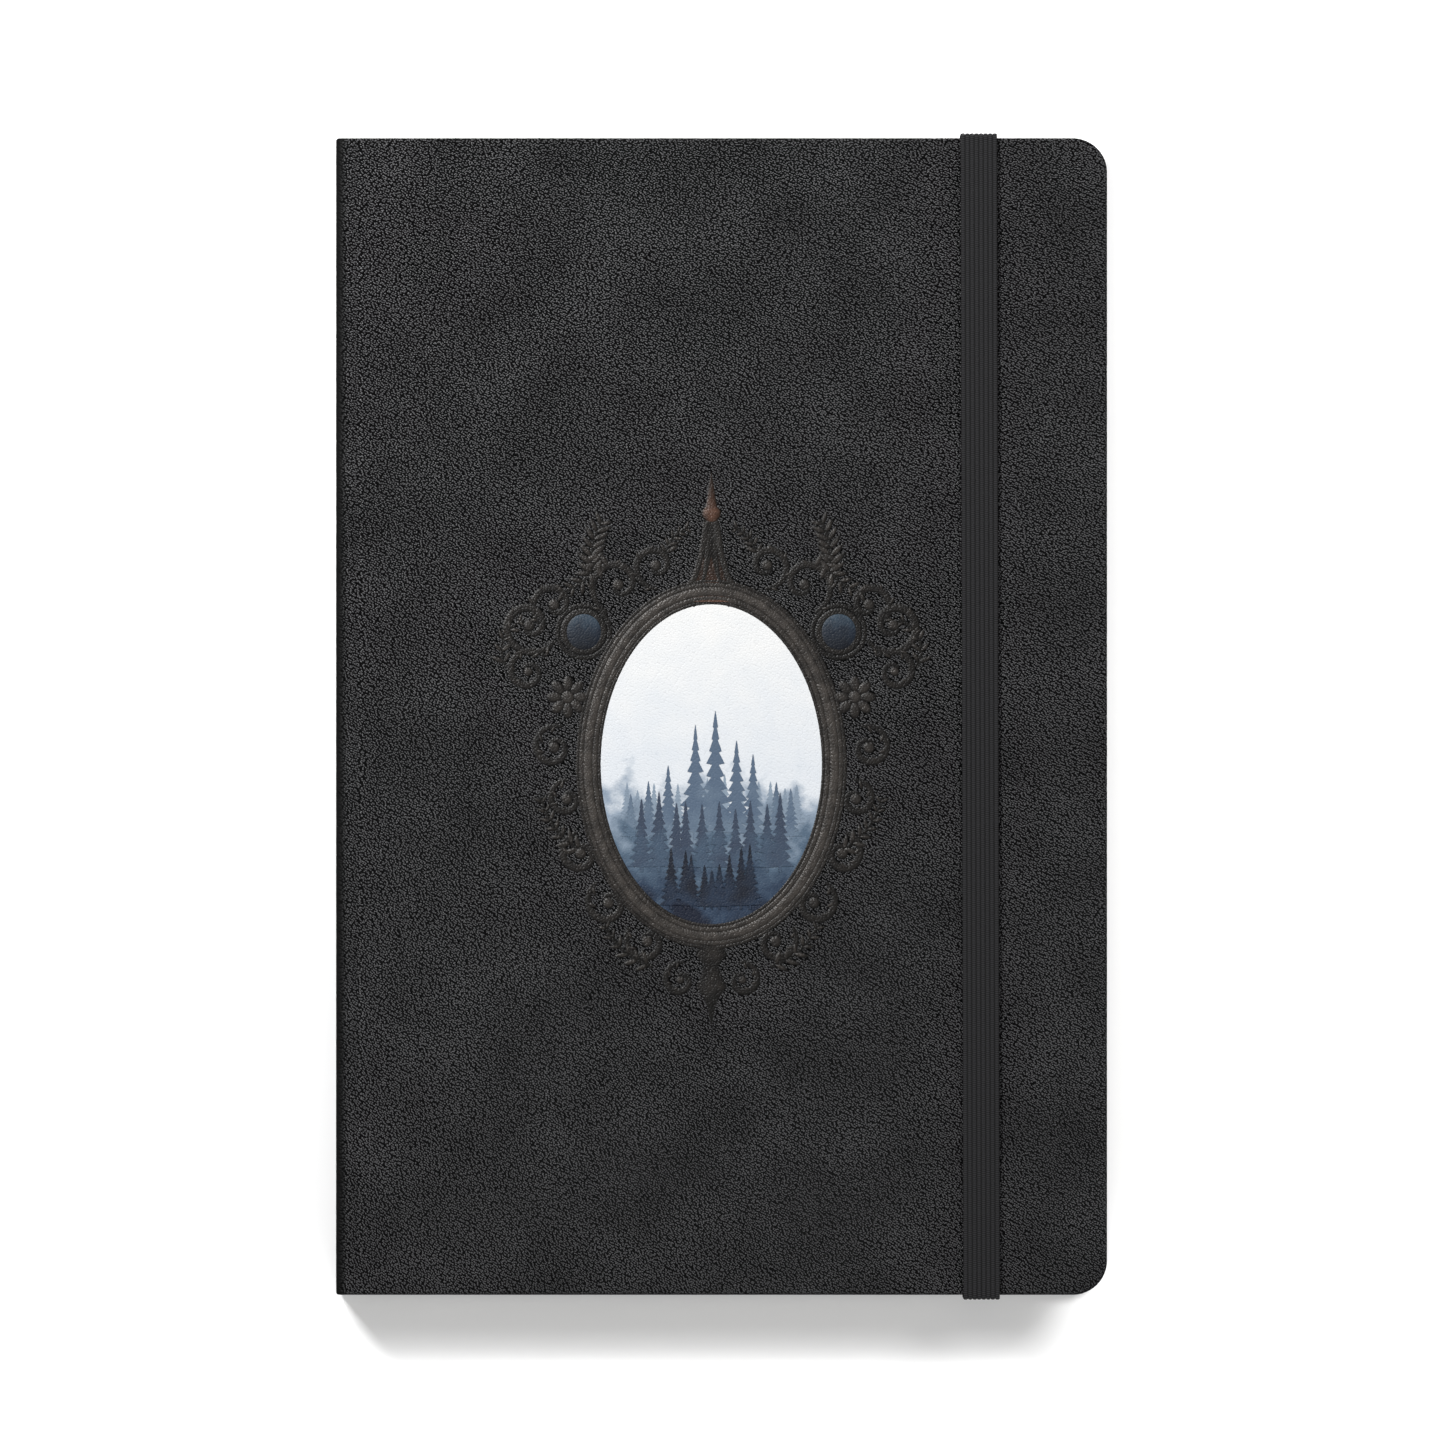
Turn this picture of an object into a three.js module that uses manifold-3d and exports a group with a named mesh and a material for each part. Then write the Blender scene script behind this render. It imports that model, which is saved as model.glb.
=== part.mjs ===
// Hardback sketchbook, closed and lying on its back cover, with its elastic closing band on.
// Millimetres. +X runs from the spine to the fore-edge, +Y to the head, +Z through the leaves.
// The origin is the middle of the back cover's outer face.
import * as THREE from "three";
import { mergeVertices } from "three/addons/utils/BufferGeometryUtils.js";
import Module from "manifold-3d";

const wasm = await Module();
wasm.setup();

// Driving dimensions of the closed book
const COVER_WIDTH = 144;
const COVER_HEIGHT = 216;
const CLOSED_THICKNESS = 15.2;
const FORE_CORNER_RADIUS = 6.4;
const HINGE_INSET = 0.6; // the fold lines lie this far in from the spine's two long edges

// Layers of a cover, from its outer face inwards
const SKIN = 0.35;
const BOARD = 1.65;
const TURN_IN = 0.3;
const TURN_IN_WIDTH = 14;
const MOUTH_CORNER_RADIUS = 1; // where the turned-in edges meet
const ENDPAPER = 0.15;
const GLUE_LINE = 0.05;
const BOARD_START = 5.15; // from the spine's outer face to the board's edge

// The pressed groove along the hinge: [distance from the spine, depth]
const GROOVE = [
  [3.1, 0],
  [3.7, 0.4],
  [4.5, 0.4],
  [5.1, 0],
];
const HINGE_CUT = [4.4, 4.55]; // the front skin is in two parts that meet at the groove
const PASTEDOWN_START = 5.4;

// The leaves
const SECTION_COUNT = 10;
const SECTION_GAP = 0.04;
const BLOCK_START = 1.75;
const FORE_SQUARE = 3;
const HEAD_SQUARE = 3.5; // how far the covers stand past the leaves at head and tail
const LEAF_CORNER_RADIUS = 4.5;

// Layers on the spine, as distances from its outer face
const STIFFENER_SPAN = [0.4, 0.9];
const LINING_SPAN = [1.0, 1.15];
const MULL_SPAN = [1.2, 1.45];
const THREAD_SPAN = [1.5, 1.68];
const STIFFENER_MARGIN = 1;
const LINING_HALF_HEIGHT = 98;
const MULL_HALF_HEIGHT = 96;
const STITCH_STATIONS = [-92, -36, 36, 92];
const HEADBAND_BEAD = 1.2;
const HEADBAND_OVERHANG = 1.3;

// The elastic band
const BAND_WIDTH = 6.8;
const BAND_THICKNESS = 0.8;
const BAND_CENTRE_X = 48.3;
const BAND_CLEARANCE = 0.1;
const TAB_LENGTH = 14;

// The printed design on the front cover
const PRINT_FILM = 0.06;
const PRINT_LIFT = 0.04;
const PRINT_CENTRE = [-1.9, -8.9];
const WINDOW_RADII = [20.8, 30];
const PRINT_RING = 4;

// The room left between neighbours that are cut round each other or that move
const CLEARANCE = 0.3;

// Smoothness of curves
const CORNER_SEGMENTS = 8;
const OVAL_SEGMENTS = 48;
const WELD = 1e-4;

// Sizes that follow from those above
const HALF_HEIGHT = COVER_HEIGHT / 2;
const SPINE_X = -COVER_WIDTH / 2;
const LAYERS = stackLayers([SKIN, BOARD, TURN_IN, ENDPAPER]);
const [SKIN_LAYER, BOARD_LAYER, TURN_IN_LAYER, PASTEDOWN_LAYER] = LAYERS;
const COVER_DEPTH = PASTEDOWN_LAYER[1];
const FLYLEAF_LAYER = [COVER_DEPTH + GLUE_LINE, COVER_DEPTH + GLUE_LINE + ENDPAPER];
const FIRST_SECTION = FLYLEAF_LAYER[1] + GLUE_LINE;
const SECTION_PITCH = (CLOSED_THICKNESS - 2 * FIRST_SECTION) / SECTION_COUNT;
const LEAF_HALF_HEIGHT = HALF_HEIGHT - HEAD_SQUARE;
const BAND_FRONT = CLOSED_THICKNESS + BAND_CLEARANCE;
const BAND_HEAD = HALF_HEIGHT + BAND_CLEARANCE;
const BAND_ENTRY = COVER_DEPTH + GLUE_LINE; // height at which the band turns in over the back cover
const RISER = [LEAF_HALF_HEIGHT + CLEARANCE, LEAF_HALF_HEIGHT + CLEARANCE + BAND_THICKNESS];
const TAB_LAYER = [BOARD_LAYER[1] - BAND_THICKNESS - GLUE_LINE, BOARD_LAYER[1] - GLUE_LINE];

// Finishes
const finish = (color, roughness) => new THREE.MeshStandardMaterial({ color, roughness, metalness: 0 });
const FINISHES = {
  leatherette: () => finish(0x1a1a1b, 0.5),
  greyboard: () => finish(0x8d877c, 0.95),
  endpaper: () => finish(0xe9e4d6, 0.9),
  drawingPaper: () => finish(0xf1ede2, 0.9),
  kraft: () => finish(0xb08d62, 0.9),
  gauze: () => finish(0xdcd6c6, 1),
  thread: () => finish(0xf2f0ea, 0.8),
  headband: () => finish(0x2a2a2c, 0.8),
  elastic: () => finish(0x222224, 0.85),
  printPale: () => finish(0xe4e6e8, 0.6),
  printDark: () => finish(0x34303a, 0.6),
};

/** The [low, high] of each layer of a cover, counted inwards from its outer face at 0. */
function stackLayers(thicknesses) {
  let low = 0;
  return thicknesses.map((thickness) => {
    const layer = [low, low + thickness];
    low = layer[1] + GLUE_LINE;
    return layer;
  });
}

/** X of a place that is a given distance in from the spine's outer face. */
function fromSpine(distance) {
  return SPINE_X + distance;
}

/** A back-cover layer turned over for the front cover, as [low, high]. */
function onFront([low, high]) {
  return [CLOSED_THICKNESS - high, CLOSED_THICKNESS - low];
}

/** A sheet's outline: square at the spine and rounded at the fore-edge. */
function sheetOutline(left, right, halfHeight, radius) {
  const outline = new THREE.Shape();
  outline.moveTo(left, -halfHeight);
  outline.lineTo(right - radius, -halfHeight);
  outline.absarc(right - radius, radius - halfHeight, radius, -Math.PI / 2, 0);
  outline.lineTo(right, halfHeight - radius);
  outline.absarc(right - radius, halfHeight - radius, radius, 0, Math.PI / 2);
  outline.lineTo(left, halfHeight);
  return outline;
}

/** An outline given by its corner points. */
function polygon(points) {
  return new THREE.Shape(points.map(([across, up]) => new THREE.Vector2(across, up)));
}

/** A flat sheet: an outline in X and Y, from one height to another. */
function sheet(outline, [low, high], segments = CORNER_SEGMENTS) {
  const options = { depth: high - low, bevelEnabled: false, curveSegments: segments };
  return new THREE.ExtrudeGeometry(outline, options).translate(0, 0, low);
}

/** A section in X and Z, run along Y. */
function runAlongY(points, low, high) {
  const options = { depth: high - low, bevelEnabled: false };
  return new THREE.ExtrudeGeometry(polygon(points), options).rotateX(Math.PI / 2).translate(0, high, 0);
}

/** A section in Y and Z, run along X. */
function runAlongX(points, low, high) {
  const options = { depth: high - low, bevelEnabled: false };
  const turn = new THREE.Matrix4().makeBasis(
    new THREE.Vector3(0, 1, 0),
    new THREE.Vector3(0, 0, 1),
    new THREE.Vector3(1, 0, 0),
  );
  return new THREE.ExtrudeGeometry(polygon(points), options).applyMatrix4(turn).translate(low, 0, 0);
}

/** A block between two corners. */
function block([x0, x1], [y0, y1], [z0, z1]) {
  const middle = [(x0 + x1) / 2, (y0 + y1) / 2, (z0 + z1) / 2];
  return new THREE.BoxGeometry(x1 - x0, y1 - y0, z1 - z0).translate(...middle);
}

/** A closed geometry as a solid that can be cut and joined. */
function solidOf(geometry) {
  const bare = geometry.clone();
  bare.deleteAttribute("normal");
  bare.deleteAttribute("uv");
  const merged = mergeVertices(bare, WELD);
  const triVerts = new Uint32Array(merged.index.array);
  const vertProperties = merged.attributes.position.array;
  return new wasm.Manifold(new wasm.Mesh({ numProp: 3, vertProperties, triVerts }));
}

/** A cut or joined solid as a geometry. */
function geometryOf(solid) {
  const { numProp, numVert, vertProperties, triVerts } = solid.getMesh();
  const positions = new Float32Array(numVert * 3);
  for (let vertex = 0; vertex < numVert; vertex++) {
    const start = vertex * numProp;
    positions.set(vertProperties.subarray(start, start + 3), vertex * 3);
  }
  const geometry = new THREE.BufferGeometry();
  geometry.setAttribute("position", new THREE.BufferAttribute(positions, 3));
  geometry.setIndex(new THREE.BufferAttribute(triVerts, 1));
  geometry.computeVertexNormals();
  return geometry;
}

/** The first geometry joined with the others. */
function join(first, ...others) {
  return geometryOf(others.reduce((whole, other) => whole.add(solidOf(other)), solidOf(first)));
}

/** The first geometry with the others cut away. */
function cut(first, ...others) {
  return geometryOf(others.reduce((rest, other) => rest.subtract(solidOf(other)), solidOf(first)));
}

/** A named piece of the book. */
function piece(name, geometry, makeFinish) {
  const mesh = new THREE.Mesh(geometry, makeFinish());
  mesh.name = name;
  return mesh;
}

/** A named assembly of pieces. */
function assembly(name, ...pieces) {
  const group = new THREE.Group();
  group.name = name;
  group.add(...pieces);
  return group;
}

/** How deep the hinge groove is at a distance from the spine. */
function grooveDepth(distance) {
  for (let k = 1; k < GROOVE.length; k++) {
    const [fromAt, fromDepth] = GROOVE[k - 1];
    const [toAt, toDepth] = GROOVE[k];
    if (distance >= fromAt && distance <= toAt) {
      return fromDepth + ((toDepth - fromDepth) * (distance - fromAt)) / (toAt - fromAt);
    }
  }
  return 0;
}

/** The skin across the hinge from one distance to another, with its pressed groove. */
function hingeSkin(from, to, isFront) {
  const inside = GROOVE.map(([at]) => at).filter((at) => at > from && at < to);
  const places = [from, ...inside, to];
  const outer = places.map((at) => [fromSpine(at), grooveDepth(at)]);
  const inner = outer.map(([x, depth]) => [x, depth + SKIN]).reverse();
  const section = [...outer, ...inner];
  const turned = section.map(([x, z]) => [x, CLOSED_THICKNESS - z]).reverse();
  return runAlongY(isFront ? turned : section, -HALF_HEIGHT, HALF_HEIGHT);
}

/** A cover's skin: a shallow tray over the board's outer face and edges, turned in on the inside. */
function coverSkin(hingeFrom, isFront) {
  const place = isFront ? onFront : (layer) => layer;
  const start = fromSpine(GROOVE.at(-1)[0]);
  const end = COVER_WIDTH / 2;
  const beyond = start - 1;
  const outer = sheetOutline(start, end, HALF_HEIGHT, FORE_CORNER_RADIUS);
  const room = sheetOutline(beyond, end - SKIN, HALF_HEIGHT - SKIN, FORE_CORNER_RADIUS - SKIN);
  const mouth = sheetOutline(beyond, end - TURN_IN_WIDTH, HALF_HEIGHT - TURN_IN_WIDTH, MOUTH_CORNER_RADIUS);
  const tray = cut(
    sheet(outer, place([0, TURN_IN_LAYER[1]])),
    sheet(room, place([SKIN, TURN_IN_LAYER[0]])),
    sheet(mouth, place([BOARD_LAYER[0], COVER_DEPTH])),
  );
  return join(tray, hingeSkin(hingeFrom, GROOVE.at(-1)[0] + SKIN, isFront));
}

/** A cover's board, which lies inside its skin. */
function coverBoard(layer) {
  const inset = SKIN + GLUE_LINE;
  const right = COVER_WIDTH / 2 - inset;
  const corner = FORE_CORNER_RADIUS - inset;
  return sheet(sheetOutline(fromSpine(BOARD_START), right, HALF_HEIGHT - inset, corner), layer);
}

/** A leaf, section or pastedown, from a distance from the spine to the leaves' fore-edge. */
function leafSheet(start, layer) {
  const right = COVER_WIDTH / 2 - FORE_SQUARE;
  return sheet(sheetOutline(fromSpine(start), right, LEAF_HALF_HEIGHT, LEAF_CORNER_RADIUS), layer);
}

/** One sewn section of the leaves, counted from the back of the book. */
function section(index) {
  const low = FIRST_SECTION + index * SECTION_PITCH;
  const name = `section_${String(index + 1).padStart(2, "0")}`;
  const layer = [low, low + SECTION_PITCH - SECTION_GAP];
  return piece(name, leafSheet(BLOCK_START, layer), FINISHES.drawingPaper);
}

/** The sections from one index up to another. */
function sections(from, to) {
  return Array.from({ length: to - from }, (_, k) => section(from + k));
}

/** The slot at the head (end 1) or tail (end -1) that the band's tab goes in through. */
function tabSlot(end, [near, far], layer) {
  const half = BAND_WIDTH / 2 + CLEARANCE;
  const ends = [end * near, end * far].sort((a, b) => a - b);
  return block([BAND_CENTRE_X - half, BAND_CENTRE_X + half], ends, layer);
}

/** The band's glued end: a tab in the back board and a riser that comes out at the cover's edge. */
function bandTab(end) {
  const [near, far] = RISER;
  const [low, high] = TAB_LAYER;
  const top = BAND_ENTRY + BAND_THICKNESS;
  const profile = [
    [near - TAB_LENGTH, low],
    [far, low],
    [far, top],
    [near, top],
    [near, high],
    [near - TAB_LENGTH, high],
  ].map(([y, z]) => [end * y, z]);
  const half = BAND_WIDTH / 2;
  return runAlongX(end > 0 ? profile : profile.reverse(), BAND_CENTRE_X - half, BAND_CENTRE_X + half);
}

/** The band's free length: over the front cover, round the head and tail and in over the back cover. */
function bandLoop() {
  const legEnd = RISER[1] + CLEARANCE;
  const outerY = BAND_HEAD + BAND_THICKNESS;
  const legTop = BAND_ENTRY + BAND_THICKNESS;
  const half = [
    [outerY, BAND_FRONT + BAND_THICKNESS],
    [outerY, BAND_ENTRY],
    [legEnd, BAND_ENTRY],
    [legEnd, legTop],
    [BAND_HEAD, legTop],
    [BAND_HEAD, BAND_FRONT],
  ];
  const other = half.map(([y, z]) => [-y, z]).reverse();
  const left = BAND_CENTRE_X - BAND_WIDTH / 2;
  return runAlongX([...half, ...other], left, left + BAND_WIDTH);
}

/** A headband: a bead over the end of the leaves' spine, on a tape glued down the back of them. */
function headband(end) {
  const span = [FIRST_SECTION, CLOSED_THICKNESS - FIRST_SECTION];
  const along = (near, far) => [end * near, end * far].sort((a, b) => a - b);
  const beadStart = LEAF_HALF_HEIGHT + GLUE_LINE * 2;
  const [left, right] = LINING_SPAN.map(fromSpine);
  const tape = block([left, right], along(LINING_HALF_HEIGHT + CLEARANCE, beadStart + HEADBAND_BEAD), span);
  const bead = block([left, right + HEADBAND_OVERHANG], along(beadStart, beadStart + HEADBAND_BEAD), span);
  return join(tape, bead);
}

/** The sewing: a chain of stitches across the sections at each station, and a run in the middle fold. */
function sewing() {
  const [left, right] = THREAD_SPAN.map(fromSpine);
  const half = (right - left) / 2;
  const middle = CLOSED_THICKNESS / 2;
  const ends = [STITCH_STATIONS[0], STITCH_STATIONS.at(-1)];
  const run = block([left, right], ends, [middle - half, middle + half]);
  const chain = [FIRST_SECTION + SECTION_PITCH / 2, CLOSED_THICKNESS - FIRST_SECTION - SECTION_PITCH / 2];
  const chains = STITCH_STATIONS.map((y) => block([left, right], [y - half, y + half], chain));
  return join(run, ...chains);
}

/** A named layer on the spine, from one distance to another, as wide as the spine less a margin. */
function spineLayer(name, span, halfHeight, margin, makeFinish) {
  const layer = block(span.map(fromSpine), [-halfHeight, halfHeight], [margin, CLOSED_THICKNESS - margin]);
  return piece(name, layer, makeFinish);
}

/** An oval centred on the printed design, with its radii grown by an amount. */
function printOval(grow) {
  const [x, y] = PRINT_CENTRE;
  const [across, up] = WINDOW_RADII;
  const oval = new THREE.Shape();
  oval.absellipse(x, y, across + grow, up + grow, 0, 2 * Math.PI, false, 0);
  return oval;
}

/** The printed oval ring round the pale window. */
function printRing() {
  const ring = printOval(CLEARANCE + PRINT_RING);
  ring.holes.push(printOval(CLEARANCE));
  return ring;
}

/** The slits in the back cover's turned-in skin that the band's ends go through. */
function bandSlits() {
  const reach = [RISER[0] - CLEARANCE, RISER[1] + CLEARANCE];
  return [1, -1].map((end) => tabSlot(end, reach, [BOARD_LAYER[1] - GLUE_LINE, COVER_DEPTH]));
}

/** The recesses in the back board that the band's tabs are glued into. */
function bandRecesses() {
  const reach = [RISER[0] - TAB_LENGTH - CLEARANCE, RISER[1] + CLEARANCE];
  return [1, -1].map((end) => tabSlot(end, reach, [TAB_LAYER[0] - GLUE_LINE, COVER_DEPTH]));
}

const FOLD_START = HINGE_INSET + GLUE_LINE;
const SPINE_SKIN_MARGIN = HINGE_INSET + CLEARANCE / 2;
const PRINT_LAYER = [CLOSED_THICKNESS + PRINT_LIFT, CLOSED_THICKNESS + PRINT_LIFT + PRINT_FILM];
const MIDDLE_SECTION = SECTION_COUNT / 2;

const backCover = assembly(
  "back_cover_assembly",
  piece("back_covering", cut(coverSkin(FOLD_START, false), ...bandSlits()), FINISHES.leatherette),
  piece("back_board", cut(coverBoard(BOARD_LAYER), ...bandRecesses()), FINISHES.greyboard),
  piece("back_pastedown", leafSheet(PASTEDOWN_START, PASTEDOWN_LAYER), FINISHES.endpaper),
  piece("elastic_tab_head", bandTab(1), FINISHES.elastic),
  piece("elastic_tab_tail", bandTab(-1), FINISHES.elastic),
);

const backLeaves = assembly(
  "back_leaves_assembly",
  piece("back_flyleaf", leafSheet(BLOCK_START, FLYLEAF_LAYER), FINISHES.endpaper),
  ...sections(0, MIDDLE_SECTION),
);

const spine = assembly(
  "spine_assembly",
  spineLayer("spine_covering", [0, SKIN], HALF_HEIGHT, SPINE_SKIN_MARGIN, FINISHES.leatherette),
  spineLayer("spine_stiffener", STIFFENER_SPAN, HALF_HEIGHT - SKIN, STIFFENER_MARGIN, FINISHES.greyboard),
  spineLayer("spine_lining", LINING_SPAN, LINING_HALF_HEIGHT, FIRST_SECTION, FINISHES.kraft),
  spineLayer("mull", MULL_SPAN, MULL_HALF_HEIGHT, FIRST_SECTION, FINISHES.gauze),
  piece("sewing_thread", sewing(), FINISHES.thread),
  piece("head_band", headband(1), FINISHES.headband),
  piece("tail_band", headband(-1), FINISHES.headband),
);

const frontLeaves = assembly(
  "front_leaves_assembly",
  ...sections(MIDDLE_SECTION, SECTION_COUNT),
  piece("front_flyleaf", leafSheet(BLOCK_START, onFront(FLYLEAF_LAYER)), FINISHES.endpaper),
  piece("front_hinge_strip", hingeSkin(FOLD_START, HINGE_CUT[0], true), FINISHES.leatherette),
);

const frontCover = assembly(
  "front_cover_assembly",
  piece("front_covering", coverSkin(HINGE_CUT[1], true), FINISHES.leatherette),
  piece("front_board", coverBoard(onFront(BOARD_LAYER)), FINISHES.greyboard),
  piece("front_pastedown", leafSheet(PASTEDOWN_START, onFront(PASTEDOWN_LAYER)), FINISHES.endpaper),
  piece("cover_print_window", sheet(printOval(0), PRINT_LAYER, OVAL_SEGMENTS), FINISHES.printPale),
  piece("cover_print_frame", sheet(printRing(), PRINT_LAYER, OVAL_SEGMENTS), FINISHES.printDark),
);

const band = assembly("band_assembly", piece("elastic_band", bandLoop(), FINISHES.elastic));

const sketchbook = assembly("sketchbook", backCover, backLeaves, spine, frontLeaves, frontCover, band);

export default sketchbook;
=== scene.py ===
"""Hardback sketchbook with an elastic band: its skins, leaves, band and printed cover, round the frame."""

import logging
import math
import random
from dataclasses import dataclass, field
from enum import Enum
from typing import Callable, Iterable, Sequence

import bmesh
import bpy
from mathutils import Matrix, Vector


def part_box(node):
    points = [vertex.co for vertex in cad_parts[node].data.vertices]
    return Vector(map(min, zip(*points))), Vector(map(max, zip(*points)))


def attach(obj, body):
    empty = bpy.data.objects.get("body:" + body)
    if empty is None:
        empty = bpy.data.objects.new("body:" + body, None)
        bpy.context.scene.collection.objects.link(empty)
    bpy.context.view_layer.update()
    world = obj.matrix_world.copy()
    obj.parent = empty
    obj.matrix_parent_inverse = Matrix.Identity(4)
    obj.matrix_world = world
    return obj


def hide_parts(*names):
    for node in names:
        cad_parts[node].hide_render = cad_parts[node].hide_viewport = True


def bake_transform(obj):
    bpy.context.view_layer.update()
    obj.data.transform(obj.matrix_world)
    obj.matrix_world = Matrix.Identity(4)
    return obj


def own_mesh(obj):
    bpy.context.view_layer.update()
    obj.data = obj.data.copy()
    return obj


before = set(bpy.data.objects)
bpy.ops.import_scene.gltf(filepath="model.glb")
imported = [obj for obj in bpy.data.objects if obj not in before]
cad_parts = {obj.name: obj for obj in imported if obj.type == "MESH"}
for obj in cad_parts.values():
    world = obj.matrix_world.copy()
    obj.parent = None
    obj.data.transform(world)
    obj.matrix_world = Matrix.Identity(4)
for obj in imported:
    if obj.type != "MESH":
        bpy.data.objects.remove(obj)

LOG = logging.getLogger("sketchbook")
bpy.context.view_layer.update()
MM = 0.001
CLOSE = 1e-6
BAND_SLANT = math.radians(0.14)

Point = tuple[float, float, float]
Test = Callable[[Vector], bool]
Socket = bpy.types.NodeSocket
Stops = Sequence[tuple[float, Sequence[float]]]
Rungs = tuple[tuple[float, float], ...]


class Side(Enum):
    """Which cover a skin belongs to; the value is the way its outer face looks along Z."""

    FRONT = 1
    BACK = -1


class Along(Enum):
    """The row axis that a woven band runs along."""

    Y = 1
    Z = 2


@dataclass(frozen=True)
class Book:
    """The closed book's main lines, read from the frame."""

    spine_x: float
    fore_x: float
    head_y: float
    top_z: float

    @classmethod
    def measure(cls) -> "Book":
        """Read the lines from the CAD nodes.

        Returns:
            The measured book.
        """
        spine_low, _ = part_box("spine_covering")
        _, cover_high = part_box("front_covering")
        return cls(
            spine_x=spine_low.x,
            fore_x=cover_high.x,
            head_y=cover_high.y,
            top_z=cover_high.z,
        )

    def x(self, from_spine: float) -> float:
        """X of a place a given distance in from the spine's outer face."""
        return self.spine_x + from_spine

    def z(self, side: Side, depth: float) -> float:
        """Z of a place a given depth in from a cover's outer face."""
        return self.top_z - depth if side is Side.FRONT else depth


class Bench:
    """One piece in hand: a primitive that is shaped in edit mode and finished with modifiers."""

    def __init__(self, name: str) -> None:
        """Take the active object as the piece.

        Args:
            name: The piece's name.
        """
        self.piece = bpy.context.active_object
        self.piece.name = name
        self.piece.data.name = name
        bpy.ops.object.transform_apply(location=True, rotation=True, scale=True)

    @staticmethod
    def clear() -> None:
        """Leave nothing selected, so that an operator acts on the new piece alone."""
        if bpy.context.object and bpy.context.object.mode != "OBJECT":
            bpy.ops.object.mode_set(mode="OBJECT")
        bpy.ops.object.select_all(action="DESELECT")

    @classmethod
    def box(cls, name: str, low: Sequence[float], high: Sequence[float]) -> "Bench":
        """Start from a cube between two corners.

        Args:
            name: The piece's name.
            low: The lowest corner.
            high: The highest corner.

        Returns:
            The piece in hand.
        """
        cls.clear()
        low, high = Vector(low), Vector(high)
        bpy.ops.mesh.primitive_cube_add(size=1, location=(low + high) / 2)
        bpy.context.active_object.scale = high - low
        return cls(name)

    @classmethod
    def plane(cls, name: str, low: Sequence[float], high: Sequence[float]) -> "Bench":
        """Start from a flat sheet between two corners at one height.

        Args:
            name: The piece's name.
            low: The corner with the lowest X and Y.
            high: The corner with the highest X and Y.

        Returns:
            The piece in hand.
        """
        cls.clear()
        low, high = Vector(low), Vector(high)
        bpy.ops.mesh.primitive_plane_add(size=1, location=(low + high) / 2)
        bpy.context.active_object.scale = (high.x - low.x, high.y - low.y, 1)
        return cls(name)

    @classmethod
    def wire(cls, name: str, start: Sequence[float], end: Sequence[float]) -> "Bench":
        """Start from a single edge, to be swept into a surface.

        Args:
            name: The piece's name.
            start: One end of the edge.
            end: The other end, further along X or Y.

        Returns:
            The piece in hand, with one edge.
        """
        start, end = Vector(start), Vector(end)
        across = Vector((0, 1, 0)) if abs(end.x - start.x) > abs(end.y - start.y) else Vector((1, 0, 0))
        bench = cls.plane(name, start, end + across)
        return bench.delete(lambda at: (at - start).dot(across) > 0.5)

    @classmethod
    def dome(cls, name: str, radii: Sequence[float], segments: int = 20) -> "Bench":
        """Start from a ball at the origin, stretched to three radii, with its lower half off.

        Args:
            name: The piece's name.
            radii: Its half sizes along X, Y and Z.
            segments: How finely it is rounded.

        Returns:
            The piece in hand.
        """
        cls.clear()
        bpy.ops.mesh.primitive_uv_sphere_add(segments=segments, ring_count=segments // 2, radius=1)
        bpy.context.active_object.scale = radii
        bench = cls(name)
        return bench.bisect((0, 0, 0), (0, 0, -1), clear_outer=True, fill=True)

    @classmethod
    def disc(cls, name: str, radii: Sequence[float], vertices: int) -> "Bench":
        """Start from a filled oval at the origin.

        Args:
            name: The piece's name.
            radii: Its half sizes along X and Y.
            vertices: The number of points round it.

        Returns:
            The piece in hand.
        """
        cls.clear()
        bpy.ops.mesh.primitive_circle_add(vertices=vertices, radius=1, fill_type="NGON")
        bpy.context.active_object.scale = (radii[0], radii[1], 1)
        return cls(name)

    @classmethod
    def stem(
        cls, name: str, route: Sequence[Point], widths: Sequence[float], sides: int = 2, closed: bool = False
    ) -> "Bench":
        """Start from a round stem along a route, made a mesh.

        Args:
            name: The piece's name.
            route: The points of its centreline.
            widths: The stem's half width at each point.
            sides: How finely it is rounded.
            closed: Join its two ends.

        Returns:
            The piece in hand.
        """
        cls.clear()
        bpy.ops.curve.primitive_nurbs_path_add()
        curve = bpy.context.active_object.data
        curve.splines.clear()
        spline = curve.splines.new("POLY")
        spline.points.add(len(route) - 1)
        for point, place, width in zip(spline.points, route, widths):
            point.co = (*place, 1)
            point.radius = width
        spline.use_cyclic_u = closed
        curve.bevel_depth = 1.0
        curve.bevel_resolution = sides
        curve.use_fill_caps = True
        bpy.ops.object.convert(target="MESH")
        return cls(name)

    def _edit(self, test: Test, need_all: bool = True) -> int:
        """Enter edit mode with the vertices that pass a test selected, and all that they span.

        Args:
            test: True for the places to select.
            need_all: Select only edges and faces whose every vertex passes.

        Returns:
            How many vertices are selected.
        """
        bpy.context.view_layer.objects.active = self.piece
        bpy.ops.object.mode_set(mode="EDIT")
        bpy.ops.mesh.select_mode(type="VERT")
        bpy.ops.mesh.select_all(action="DESELECT")
        mesh = bmesh.from_edit_mesh(self.piece.data)
        for vertex in mesh.verts:
            vertex.select = bool(test(vertex.co))
        if need_all:
            mesh.select_flush(True)
        bmesh.update_edit_mesh(self.piece.data)
        return sum(vertex.select for vertex in mesh.verts)

    def _close(self) -> "Bench":
        """Go back to object mode."""
        bpy.ops.object.mode_set(mode="OBJECT")
        return self

    def delete(self, test: Test, kind: str = "VERT") -> "Bench":
        """Delete what passes a test.

        Args:
            test: True for the places to delete.
            kind: What the operator deletes, such as VERT or ONLY_FACE.

        Returns:
            The piece in hand.
        """
        self._edit(test)
        bpy.ops.mesh.delete(type=kind)
        return self._close()

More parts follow.
